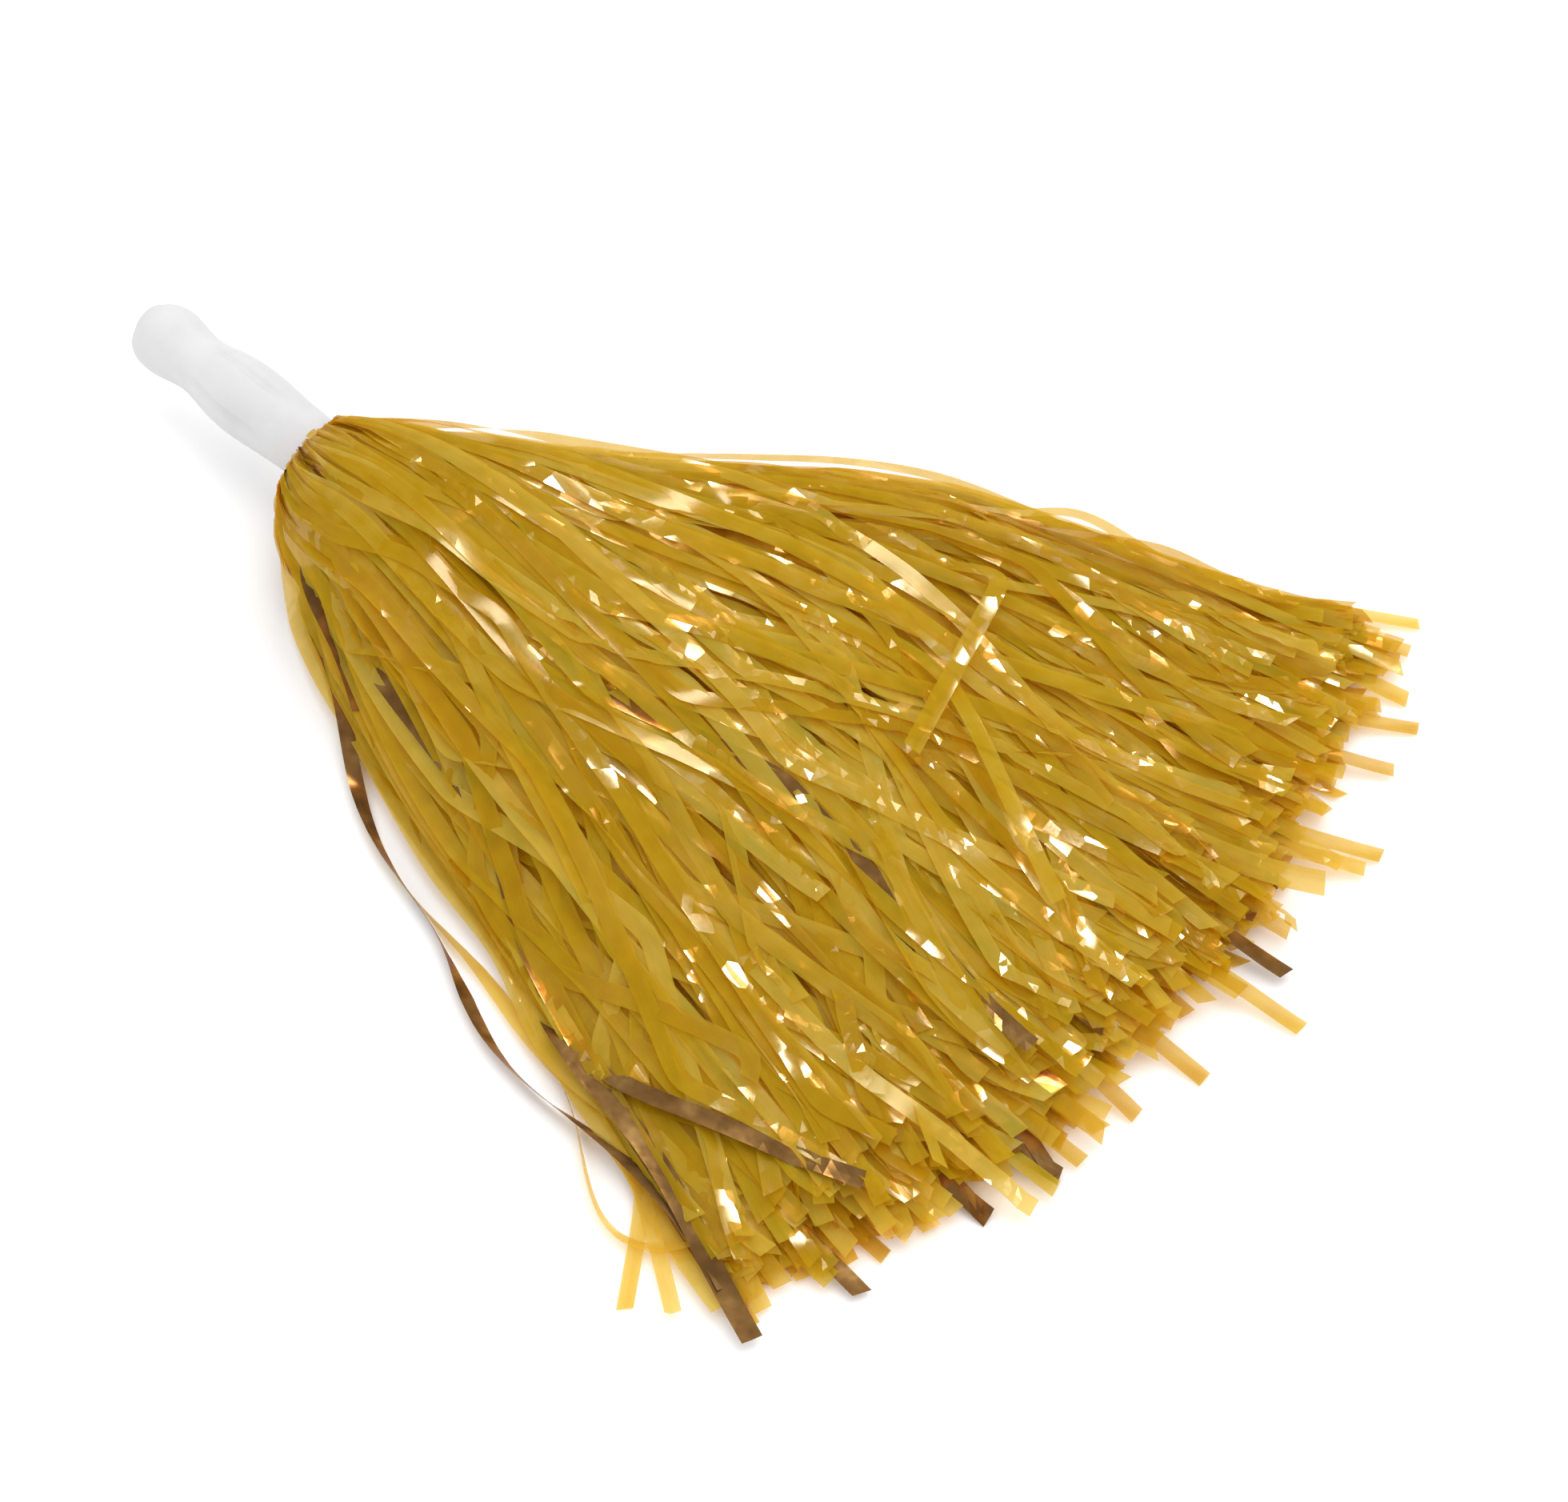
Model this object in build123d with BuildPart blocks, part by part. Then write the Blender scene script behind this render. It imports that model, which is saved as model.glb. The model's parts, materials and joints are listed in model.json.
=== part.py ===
from build123d import *
import math
import os

# Cheer pom pom lying on a floor: hollow baton grip, film headers clamped on its stem, and a fan of
# streamer tufts that leave a folded collar at the grip's neck.
# Frame: origin on the grip's axis at its neck. +X runs from the grip to the streamers, +Z is up.
# The floor is the plane z = FLOOR. All sizes are in mm, all angles in degrees.

os.makedirs("parts", exist_ok=True)

FLOOR = -22.0
CLEARANCE = 0.05       # between nested pieces of the handle and its winding


def save(builder, name):
    """Label the finished part and write its STEP file."""
    builder.part.label = name
    export_step(builder.part, f"parts/{name}.step")


def save_revolved(name, outline):
    """Turn a closed outline of (x, radius) points round the grip's axis."""
    with BuildPart() as turned:
        with BuildSketch(Plane.XZ):
            with BuildLine():
                Polyline(*outline, close=True)
            make_face()
        revolve(axis=Axis.X)
    save(turned, name)


def save_sleeve(name, start_x, length, inner_r, thickness):
    """Plain sleeve round the stem."""
    with BuildPart() as sleeve:
        with BuildSketch(Plane.YZ.offset(start_x)):
            Circle(inner_r + thickness)
            Circle(inner_r, mode=Mode.SUBTRACT)
        extrude(amount=length)
    save(sleeve, name)


# ---------------------------------------------------------------- handle
GRIP_LENGTH = 69.6     # butt to neck
WALL = 1.4             # wall of the hollow moulding
BUTT_R = 6.4           # flat of the butt, inside its rounded rim
RIM_MID = (-68.63, 8.69)
STEM_LENGTH = 42.0     # part of the handle that is hidden in the streamers
STEM_R = 6.0
STEM_BORE_R = STEM_R - WALL

# outer surface of the grip as (x, radius), from the rim of its butt: bulb, waist, belly, neck
GRIP = [
    (-66.3, 9.65), (-63.0, 10.1), (-60.0, 10.2), (-57.0, 9.9), (-54.0, 9.35), (-51.0, 8.9),
    (-48.5, 8.65), (-46.0, 8.6), (-43.0, 8.85), (-40.0, 9.35), (-36.0, 10.1), (-32.0, 10.65),
    (-28.0, 10.9), (-24.0, 10.85), (-20.0, 10.65), (-15.0, 10.35), (-10.0, 10.05), (-5.0, 9.7),
    (0.0, 9.45),
]
SHOULDER = (2.2, 9.2)  # (x, radius) where the neck starts to drop to the stem
STEM_X0 = 3.0

# bore of the grip as (x, radius), roughly a wall's thickness inside the surface
BORE = [
    (-65.4, 8.1), (-63.0, 8.6), (-60.0, 8.75), (-57.0, 8.45), (-54.0, 7.95), (-51.0, 7.5),
    (-46.0, 7.2), (-40.0, 7.9), (-36.0, 8.6), (-32.0, 9.1), (-28.0, 9.35), (-24.0, 9.3),
    (-20.0, 9.1), (-15.0, 8.8), (-10.0, 8.4), (-6.0, 8.1),
]
BORE_BUTT_X = -GRIP_LENGTH + WALL
BORE_BUTT_R = 5.3
BORE_RIM_MID = (-67.4, 7.26)
STEM_BORE_X0 = -1.0

# retaining ribs at both ends of the winding
RIB_R = 8.6
RIB_FLANK = 0.4        # length of each sloping flank
RIB_CREST = 1.4        # length of the flat crest
NECK_RIB_X = 3.6
END_RIB_X = STEM_LENGTH - 5.2

# shallow flutes round the belly of the grip
FLUTES = 10
FLUTE_R = 7.0
FLUTE_DEPTH = 0.5
FLUTE_X0 = -40.0
FLUTE_LENGTH = 36.0
BELLY_R = max(radius for x, radius in GRIP)


def rib(x):
    """Outline of a rib that rises from the stem at x."""
    crest_x = x + RIB_FLANK
    crest_end = crest_x + RIB_CREST
    return [(x, STEM_R), (crest_x, RIB_R), (crest_end, RIB_R), (crest_end + RIB_FLANK, STEM_R)]


def make_grip_shell():
    with BuildPart() as grip_shell:
        with BuildSketch(Plane.XZ):
            with BuildLine():
                Line((-GRIP_LENGTH, 0), (-GRIP_LENGTH, BUTT_R))
                ThreePointArc((-GRIP_LENGTH, BUTT_R), RIM_MID, GRIP[0])
                Spline(*GRIP)
                Polyline(GRIP[-1], SHOULDER, (STEM_X0, STEM_R), *rib(NECK_RIB_X),
                         *rib(END_RIB_X), (STEM_LENGTH, STEM_R), (STEM_LENGTH, 0),
                         (-GRIP_LENGTH, 0))
            make_face()
        revolve(axis=Axis.X)
        # bore, closed at the butt and open at the end of the stem
        with BuildSketch(Plane.XZ):
            with BuildLine():
                Line((BORE_BUTT_X, 0), (BORE_BUTT_X, BORE_BUTT_R))
                ThreePointArc((BORE_BUTT_X, BORE_BUTT_R), BORE_RIM_MID, BORE[0])
                Spline(*BORE)
                Polyline(BORE[-1], (STEM_BORE_X0, STEM_BORE_R), (STEM_LENGTH, STEM_BORE_R),
                         (STEM_LENGTH, 0), (BORE_BUTT_X, 0))
            make_face()
        revolve(axis=Axis.X, mode=Mode.SUBTRACT)
        # the flutes run out where the belly narrows
        with BuildSketch(Plane.YZ.offset(FLUTE_X0)):
            with PolarLocations(BELLY_R + FLUTE_R - FLUTE_DEPTH, FLUTES,
                                start_angle=180 / FLUTES):
                Circle(FLUTE_R)
        extrude(amount=FLUTE_LENGTH, mode=Mode.SUBTRACT)
    save(grip_shell, "grip_shell")


# plug that closes the open end of the hollow stem
PLUG_X0 = 32.0
PLUG_R = STEM_BORE_R - CLEARANCE
PLUG_LEAD_IN = (1.0, 0.3)        # length and depth of the taper at its inner end
FLANGE_X = STEM_LENGTH + CLEARANCE
FLANGE_R = STEM_R + 0.6
FLANGE_EDGE_X = STEM_LENGTH + 1.3
PLUG_X1 = STEM_LENGTH + 1.8


def make_stem_plug():
    taper_length, taper_depth = PLUG_LEAD_IN
    save_revolved("stem_plug", [
        (PLUG_X0, 0), (PLUG_X0, PLUG_R - taper_depth), (PLUG_X0 + taper_length, PLUG_R),
        (FLANGE_X, PLUG_R), (FLANGE_X, FLANGE_R), (FLANGE_EDGE_X, FLANGE_R),
        (PLUG_X1, STEM_R), (PLUG_X1, 0),
    ])


# ---------------------------------------------------------------- winding on the stem
HEADER_X0 = 6.0
HEADER_X1 = 36.0
FILM_HEADERS = 5
PLY = 0.6              # thickness of one film header band
PLY_PITCH = PLY + CLEARANCE
HEADER_SHIFT = 0.4     # each band starts this much further along than the one under it
HEADER_SHORTENING = 0.9
WINDING_R = STEM_R + CLEARANCE

FOIL_X0 = HEADER_X0 + 2.0
FOIL_LENGTH = 25.0
FOIL_THICKNESS = 0.35
FOIL_R = WINDING_R + FILM_HEADERS * PLY_PITCH

TAPE_X0 = HEADER_X0 + 4.0
TAPE_LENGTH = 19.0
TAPE_THICKNESS = 0.25
TAPE_R = FOIL_R + FOIL_THICKNESS + CLEARANCE


def make_winding():
    """Uncut header bands of the film sheets, one over the other, then foil and binding tape."""
    for n in range(FILM_HEADERS):
        save_sleeve(f"film_header_{n + 1}", HEADER_X0 + HEADER_SHIFT * n,
                    HEADER_X1 - HEADER_X0 - HEADER_SHORTENING * n,
                    WINDING_R + n * PLY_PITCH, PLY)
    save_sleeve("foil_header", FOIL_X0, FOIL_LENGTH, FOIL_R, FOIL_THICKNESS)
    save_sleeve("binding_tape", TAPE_X0, TAPE_LENGTH, TAPE_R, TAPE_THICKNESS)


# cable tie: strap, locking head on its -Y side and the strap's cut end
TIE_X = 17.5
TIE_WIDTH = 3.6
TIE_MID_X = TIE_X + TIE_WIDTH / 2
TIE_R = TAPE_R + TAPE_THICKNESS + CLEARANCE
STRAP_THICKNESS = 1.1
HEAD_REACH = TIE_R + STRAP_THICKNESS - 0.2     # from the axis; overlaps the strap
HEAD_DEPTH = 3.2
HEAD_HEIGHT = 5.4
HEAD_CORNER_R = 0.8
HEAD_EXTRA_WIDTH = 1.6
TAIL_REACH = HEAD_REACH + HEAD_DEPTH - 0.1     # overlaps the head
TAIL_LENGTH = 1.6
TAIL_THICKNESS = 1.0
TAIL_NARROWING = 0.6
TAIL_Z = 0.9


def make_cable_tie():
    with BuildPart() as cable_tie:
        with BuildSketch(Plane.YZ.offset(TIE_X)):
            Circle(TIE_R + STRAP_THICKNESS)
            Circle(TIE_R, mode=Mode.SUBTRACT)
        extrude(amount=TIE_WIDTH)
        with BuildSketch(Plane.XZ.offset(HEAD_REACH)):
            with Locations((TIE_MID_X, 0)):
                RectangleRounded(TIE_WIDTH + HEAD_EXTRA_WIDTH, HEAD_HEIGHT, HEAD_CORNER_R)
        extrude(amount=HEAD_DEPTH)
        with BuildSketch(Plane.XZ.offset(TAIL_REACH)):
            with Locations((TIE_MID_X, TAIL_Z)):
                Rectangle(TIE_WIDTH - TAIL_NARROWING, TAIL_THICKNESS)
        extrude(amount=TAIL_LENGTH)
    save(cable_tie, "cable_tie")


# collar at the grip's neck where the film sheets are turned back, as (x, radius)
FILM_FOLD = [(-3.2, 10.45), (-2.4, 9.95), (0.2, 9.8), (0.4, 11.4), (-1.2, 11.8), (-2.8, 11.4)]

# ---------------------------------------------------------------- streamer fan
# Each column of the fan is a stack of four layers. Distances s run outwards from the fold.
STREAMER_LENGTH = 305.0
FAN_YAW = 4.0          # the fan's centre line, from +X towards +Y
APEX_X = -30.0         # the columns radiate from this vertical line
RING = 30.0            # distance from the apex to the fold, along a column
COLUMNS = 6
COLUMN_STEP = 9.0      # between column centre lines
FAN_HALF_ANGLE = COLUMNS / 2 * COLUMN_STEP
HALF_GAP = 0.5         # from an interface to the layer above or below it

# length, half width at the fold and half width at the tips. The widths keep each layer inside
# its own sector of the fan, so neighbouring columns never meet.
LAYERS = {
    "upper_outer": (292.0, 1.0, 20.9),
    "upper_inner": (299.0, 1.6, 23.4),
    "lower_inner": (303.0, 1.6, 23.4),
    "lower_outer": (STREAMER_LENGTH, 1.4, 19.9),
}

# space left round the wound headers
CORE_Z = 13.6          # its half height
CORE_END = 47
CORE_STEP = 1          # half length of the slope that closes it

# (s, height above the floor) of the pile along the fan's centre line
PILE = [(0, 39.5), (8, 45), (20, 50.5), (40, 53), (70, 50), (120, 41), (180, 31), (240, 22),
        (STREAMER_LENGTH, 14)]
SIDE_DROP = 0.28       # share of the height that is lost at the fan's edges
FOLD_BLEND = 25        # over this distance the height grows from one common to all columns
# (s, z) of the top of the space that the headers and the lower half take up
LOW = [(0, CORE_Z), (CORE_END, CORE_Z), (80, 6), (120, -3), (180, -9), (240, -13),
       (STREAMER_LENGTH, -15.4)]
UPPER_SHARE = 0.52     # share of the space above LOW that lies under the upper interface
# (s, z) of the surface between the upper and lower halves, beyond the headers
MID = [(CORE_END, -2), (120, -7), (180, -10.5), (240, -13.4), (STREAMER_LENGTH, -15.4)]
LOWER_Z = -17.4        # interface of the two lower layers at the fold
LOWER_FALL = 1.8       # and how far it falls by the tips
# underside of the lowest layer, from the floor up to the fold
TOE = [(9, FLOOR), (3, FLOOR + 2.2), (0, FLOOR + 3.1)]

# distances at which the surfaces are sampled; each layer's end is added
TOP_STATIONS = (0, 8, 20, 40, 70, 120, 180, 240)
UPPER_STATIONS = (0, 8, 20, 47, 80, 120, 180, 240)
MID_STATIONS = (CORE_END + CORE_STEP, 120, 180, 240)

# blanks that are cut to shape by intersection, all larger than the tufts
PLAN_Z = FLOOR - 5
COLUMN_BLANK_HALF = 30
COLUMN_CUT_HEIGHT = 80
SIDE_BLANK_HEIGHT = 60
SIDE_CUT_HALF = 40
PLAN_MARGIN = 1        # the column plan runs past both ends of the layer


def interpolate(points, s):
    """Straight-line interpolation in a table of (distance, value)."""
    if s <= points[0][0]:
        return points[0][1]
    for (s0, v0), (s1, v1) in zip(points, points[1:]):
        if s <= s1:
            return v0 + (v1 - v0) * (s - s0) / (s1 - s0)
    return points[-1][1]


def z_top(s, angle):
    """Top of the pile in the column at this angle from the fan's centre line."""
    blend = min(s / FOLD_BLEND, 1.0)
    height = interpolate(PILE, s) * (1.0 - SIDE_DROP * (angle / FAN_HALF_ANGLE) ** 2)
    return FLOOR + PILE[0][1] * (1 - blend) + height * blend


def z_upper(s, angle):
    """Interface between the two upper layers."""
    low = interpolate(LOW, s)
    return low + UPPER_SHARE * (z_top(s, angle) - low)


def z_lower(s):
    """Interface between the two lower layers."""
    return LOWER_Z - LOWER_FALL * s / STREAMER_LENGTH


def raised(points, rise):
    return [(s, z + rise) for s, z in points]


def layer_outline(layer, end, angle):
    """Closed outline of one layer of a column, as (s, z) points."""
    top = [(s, z_top(s, angle)) for s in (*TOP_STATIONS, end)]
    upper = [(s, z_upper(s, angle)) for s in (*UPPER_STATIONS, end)]
    middle = [(s, interpolate(MID, s)) for s in (*MID_STATIONS, end)]
    lower = [(s, z_lower(s)) for s in (0, end)]
    core_s = CORE_END - CORE_STEP
    if layer == "upper_outer":
        return top + raised(upper, HALF_GAP)[::-1]
    if layer == "upper_inner":
        return (raised(upper, -HALF_GAP) + raised(middle, HALF_GAP)[::-1]
                + [(core_s, CORE_Z), (0, CORE_Z)])
    if layer == "lower_inner":
        return ([(0, -CORE_Z), (core_s, -CORE_Z)] + raised(middle, -HALF_GAP)
                + raised(lower, HALF_GAP)[::-1])
    return raised(lower, -HALF_GAP) + [(end, FLOOR)] + TOE


def from_apex(points):
    """Measure the points' distances from the apex instead of the fold."""
    return [(RING + s, value) for s, value in points]


def column_plane(yaw):
    """Upright plane through the apex line: local x runs out along the column, local y is up."""
    a = math.radians(yaw)
    return Plane(origin=(APEX_X, 0, 0), x_dir=(math.cos(a), math.sin(a), 0),
                 z_dir=(math.sin(a), -math.cos(a), 0))


def plan_plane(yaw):
    """Level plane under the floor: local x runs out along the column."""
    a = math.radians(yaw)
    return Plane(origin=(APEX_X, 0, PLAN_Z), x_dir=(math.cos(a), math.sin(a), 0),
                 z_dir=(0, 0, 1))


def make_column_tuft(layer, column):
    end, fold_half, tip_half = LAYERS[layer]
    angle = (column - (COLUMNS - 1) / 2) * COLUMN_STEP
    yaw = FAN_YAW + angle
    fold_s = -PLAN_MARGIN
    tip_s = end + PLAN_MARGIN
    plan = [(fold_s, -fold_half), (tip_s, -tip_half), (tip_s, tip_half), (fold_s, fold_half)]
    with BuildPart() as tuft:
        with BuildSketch(column_plane(yaw)):
            with BuildLine():
                Polyline(*from_apex(layer_outline(layer, end, angle)), close=True)
            make_face()
        extrude(amount=COLUMN_BLANK_HALF, both=True)
        with BuildSketch(plan_plane(yaw)):
            with BuildLine():
                Polyline(*from_apex(plan), close=True)
            make_face()
        extrude(amount=COLUMN_CUT_HEIGHT, mode=Mode.INTERSECT)
    save(tuft, f"{layer}_tuft_{column + 1}")


# ---------------------------------------------------------------- side tufts
# Upright wedges beside the outermost columns, two on each side: left is -Y, right is +Y.
SIDE_START = 4.0
SIDE_END = 286.0
SIDE_GAP = 0.9         # between the two wedges
# plan edges as (s, offset outwards from the edge of the fan)
INNER_NEAR = [(SIDE_START, 0.5), (SIDE_END, 0.5)]
INNER_FAR = [(SIDE_START, 2.2), (20, 3.4), (60, 4.6), (SIDE_END, 9.0)]
OUTER_NEAR = raised(INNER_FAR, SIDE_GAP)
OUTER_FAR = [(SIDE_START, 5.0), (20, 8.6), (60, 11.0), (160, 14.5), (SIDE_END, 17.5)]
# near edge, far edge and scale of the ridge's height above the floor
WEDGES = {
    "outer": (OUTER_NEAR, OUTER_FAR, 0.86),
    "inner": (INNER_NEAR, INNER_FAR, 1.0),
}
# side view as (s, z): the ridge, then the tips, the floor and the lifted end at the fold
SIDE_RIDGE = [(SIDE_START, 9.0), (10, 14.0), (22, 16.0), (45, 15.0), (80, 11.0), (140, 3.0),
              (200, -4.0)]
SIDE_BASE = [(SIDE_END, -12.5), (SIDE_END, FLOOR), (14, FLOOR), (7, -18.0), (SIDE_START, -11.0)]


def make_side_tuft(side, sign, wedge):
    near, far, scale = WEDGES[wedge]
    yaw = FAN_YAW + sign * FAN_HALF_ANGLE
    plan = [(s, sign * offset) for s, offset in near + far[::-1]]
    ridge = [(s, FLOOR + (z - FLOOR) * scale) for s, z in SIDE_RIDGE]
    with BuildPart() as tuft:
        with BuildSketch(plan_plane(yaw)):
            with BuildLine():
                Polyline(*from_apex(plan), close=True)
            make_face()
        extrude(amount=SIDE_BLANK_HEIGHT)
        with BuildSketch(column_plane(yaw)):
            with BuildLine():
                Polyline(*from_apex(ridge + SIDE_BASE), close=True)
            make_face()
        extrude(amount=SIDE_CUT_HALF, both=True, mode=Mode.INTERSECT)
    save(tuft, f"{side}_{wedge}_tuft")


make_grip_shell()
make_stem_plug()
make_winding()
make_cable_tie()
save_revolved("film_fold", FILM_FOLD)
for layer in LAYERS:
    for column in range(COLUMNS):
        make_column_tuft(layer, column)
for side, sign in (("left", -1), ("right", 1)):
    for wedge in WEDGES:
        make_side_tuft(side, sign, wedge)
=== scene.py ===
"""A hand-held pompom of gold film streamers, lying on a studio floor.

The grip lies along X with its butt at x = -69.6 mm; its axis is y = z = 0. The film folds back
over the grip's end near x = 0 and the streamers fan out towards +X in a pile that sinks to
the floor. The "left" tufts are on the -Y side and the "right" ones on the +Y side.
Shapes are worked out in millimetres and become metres when a mesh is made. Angles round the
neck (theta) are 0 straight up and a quarter turn towards +Y.
"""
import json
import math
from dataclasses import dataclass

import bmesh
import bpy
import numpy as np
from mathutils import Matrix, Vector


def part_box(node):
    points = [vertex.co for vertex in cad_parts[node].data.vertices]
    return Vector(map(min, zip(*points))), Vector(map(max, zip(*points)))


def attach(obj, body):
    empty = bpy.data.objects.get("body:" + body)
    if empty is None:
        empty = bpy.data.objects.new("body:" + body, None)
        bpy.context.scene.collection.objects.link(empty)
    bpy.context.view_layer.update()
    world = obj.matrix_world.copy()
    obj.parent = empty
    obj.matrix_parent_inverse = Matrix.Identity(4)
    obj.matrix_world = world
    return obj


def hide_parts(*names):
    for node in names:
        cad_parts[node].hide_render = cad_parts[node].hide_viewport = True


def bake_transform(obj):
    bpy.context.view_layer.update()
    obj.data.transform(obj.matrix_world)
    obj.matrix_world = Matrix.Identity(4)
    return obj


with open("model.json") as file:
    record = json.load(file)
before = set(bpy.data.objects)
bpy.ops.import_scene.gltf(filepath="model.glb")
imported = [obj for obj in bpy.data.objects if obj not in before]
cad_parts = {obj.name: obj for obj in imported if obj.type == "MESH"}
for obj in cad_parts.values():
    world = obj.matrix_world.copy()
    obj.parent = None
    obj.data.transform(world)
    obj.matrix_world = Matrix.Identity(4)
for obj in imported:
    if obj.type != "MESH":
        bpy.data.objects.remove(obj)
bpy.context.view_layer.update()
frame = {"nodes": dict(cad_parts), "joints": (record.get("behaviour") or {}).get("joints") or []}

seeds = np.random.default_rng(4171)

MM = 0.001
FLOOR = (np.array(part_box("lower_outer_tuft_3")[0]) / MM)[2]
HINGES = {j["child"]: np.array(j["pos_m"], float) / MM for j in frame["joints"]}

APEX = np.array([-30.0, 0.0])   # the fan's columns run out from this point in plan
COLUMNS = 6
STEP = 2.9                      # segment length along a streamer
MAX_LIFT = 2.4                  # most a streamer is lifted by what it rests on
FREE_LIFT = 9.0                 # the same for single streamers high in the pile

# tufts of the fan: streamers in each, lowest and highest place in the pile (0 bottom, 1 top)
FAN_TUFTS = {"lower_outer": (28, 0.0, 0.2), "lower_inner": (28, 0.2, 0.46),
             "upper_inner": (36, 0.46, 0.70), "upper_outer": (52, 0.70, 1.0)}
MIDDLE = 0.46                   # place in the pile between the lower and upper tufts
SIDE_COUNT = 32                 # streamers in each tuft at the sides
# side tufts: ranges of the place across the fan at the neck and of the depth in the dome
SIDE_RANGES = {"inner": ((0.78, 0.92), (0.55, 0.92)), "outer": ((0.86, 1.0), (0.86, 1.0))}


# ------------------------------------------------------------------ curves
def smooth(t):
    t = np.clip(t, 0, 1)
    return t * t * (3 - 2 * t)


def wander(count, spacing, rng, size):
    """Smooth random curve of count samples with a knot every spacing samples."""
    knots = rng.normal(0, 1, int(count / spacing) + 4)
    x = np.arange(count) / spacing + 1 + rng.uniform(0, 1)
    i = np.floor(x).astype(int)
    f = smooth(x - i)
    last = len(knots) - 1
    return size * (knots[np.clip(i, 0, last)] * (1 - f) + knots[np.clip(i + 1, 0, last)] * f)


def blur(values, sigma):
    reach = int(3 * sigma)
    weights = np.exp(-0.5 * (np.arange(-reach, reach + 1) / sigma) ** 2)
    weights /= weights.sum()
    return np.convolve(np.pad(values, reach, mode="edge"), weights, mode="valid")


def blur_columns(points, sigma):
    return np.stack([blur(column, sigma) for column in points.T], 1)


def bends(s, rng, first, gap, size):
    """Wander made of nearly straight runs joined by bends, the first at distance first."""
    knots, values = [0.0, first], [0.0, 0.0]
    while knots[-1] < 360:
        knots.append(knots[-1] + rng.uniform(*gap))
        values.append(rng.normal(0, 1) * size(knots[-1]))
    return blur(np.interp(s, knots, values), 1.2)


def arc_length(points):
    """Distance along a line of points, at each point."""
    return np.r_[0, np.cumsum(np.linalg.norm(np.diff(points, axis=0), axis=1))]


def sample(points, run, t):
    """Points at distances t along a line whose own points lie at distances run."""
    return np.stack([np.interp(t, run, column) for column in points.T], 1)


def even_steps(length):
    return np.linspace(0, length, int(round(length / STEP)) + 1)


def around(x, radius, theta):
    """Points at the given x, radius and direction round the neck's axis."""
    x, radius, theta = np.broadcast_arrays(x, radius, theta)
    return np.stack([x, radius * np.sin(theta), radius * np.cos(theta)], -1)


# ------------------------------------------------------------------ shape of the pile
# height of the pile's top above the floor, by distance from the fold
PILE_AT = [0, 20, 40, 70, 120, 180, 240, 305, 340]
PILE_HEIGHT = [36, 44, 49, 48.5, 40.5, 29.5, 19.5, 9.5, 7]

# directions of the fan's two edges in degrees, by distance from the fold
MINUS_Y_AT = [0, 40, 80, 130, 160, 200, 250, 305]
MINUS_Y_EDGE = [-31, -28.2, -25.4, -22.8, -21.1, -20.1, -19.3, -18.6]
PLUS_Y_AT = [0, 40, 71, 107, 138, 170, 198, 230, 260, 305]
PLUS_Y_EDGE = [34, 33.6, 33.8, 36.2, 38.2, 37.8, 36.0, 34, 32.6, 32.0]

# radius of the dome round the neck: a row for each direction, a column for each distance
DOME_AT = [0, 3, 6, 9, 13, 18, 28, 45, 70]
DOME_THETA = np.radians([-180, -122.4, -90, -45, 0, 57.6, 90, 135, 180])
DOME_RADIUS = np.array([
    [10.0, 11.6, 14.0, 16.6, 19.0, 21.0, 21.6, 21.6, 21.6],
    [9.8, 11.8, 14.6, 18.2, 22.8, 27.4, 34.0, 38.2, 39.4],
    [10.0, 12.4, 15.2, 18.8, 23.0, 27.4, 34.0, 40.0, 46.0],
    [10.4, 12.8, 15.0, 17.6, 20.6, 23.8, 28.8, 33.0, 36.5],
    [10.0, 11.6, 13.2, 15.2, 17.6, 20.4, 24.8, 27.8, 28.6],
    [9.7, 10.3, 10.8, 11.5, 12.7, 14.2, 17.6, 24.2, 34.5],
    [9.8, 11.4, 12.4, 13.6, 15.3, 17.4, 22.4, 30.4, 43.0],
    [9.8, 11.4, 13.2, 15.2, 17.4, 19.6, 24.4, 29.5, 30.5],
    [10.0, 11.6, 14.0, 16.6, 19.0, 21.0, 21.6, 21.6, 21.6]])

# how the film comes out of the header, under the fold and round it: x from the fold, radius
ROOT = np.array([(4.6, 9.35), (2.0, 9.45), (0.3, 9.6), (-0.45, 9.8), (-0.6, 10.1)])


def pile_height(s, u):
    """Height of the pile's top s mm from the fold, at u across the fan (-1 is the -Y edge)."""
    a = np.abs(u)
    crown = 1 - 0.20 * (a / 0.8) ** 2
    edge = 1 - 0.60 * smooth((a - 0.72) / 0.33)
    # lower on the +Y side near the neck
    shoulder = 1 - 0.24 * smooth((u - 0.35) / 0.5) * smooth((135 - s) / 70)
    return np.interp(s, PILE_AT, PILE_HEIGHT) * crown * edge * shoulder


def fan_angle(s, u):
    low = np.interp(s, MINUS_Y_AT, MINUS_Y_EDGE)
    high = np.interp(s, PLUS_Y_AT, PLUS_Y_EDGE)
    return np.radians(low + (high - low) * (u + 1) / 2)


def dome(s, theta):
    """Radius of the dome round the neck, s mm out in direction theta."""
    s, theta = np.broadcast_arrays(s, theta)
    t = (theta + math.pi) % (2 * math.pi) - math.pi
    k = np.clip(np.searchsorted(DOME_THETA, t, side="right") - 1, 0, len(DOME_THETA) - 2)
    f = (t - DOME_THETA[k]) / (DOME_THETA[k + 1] - DOME_THETA[k])
    f = smooth(f) * 0.5 + f * 0.5
    table = np.stack([np.interp(s, DOME_AT, row) for row in DOME_RADIUS])
    low = np.take_along_axis(table, k[None], 0)[0]
    high = np.take_along_axis(table, k[None] + 1, 0)[0]
    return low * (1 - f) + high * f


def fold_x(theta):
    """Where the film folds back: a ring that leans, further towards -X underneath."""
    return 2.05 + 4.95 * np.cos(theta + 0.5585) + 1.45 * np.sin(theta + 0.5585)


def root_path(theta):
    return around(fold_x(theta) + ROOT[:, 0], ROOT[:, 1], theta)


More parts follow.
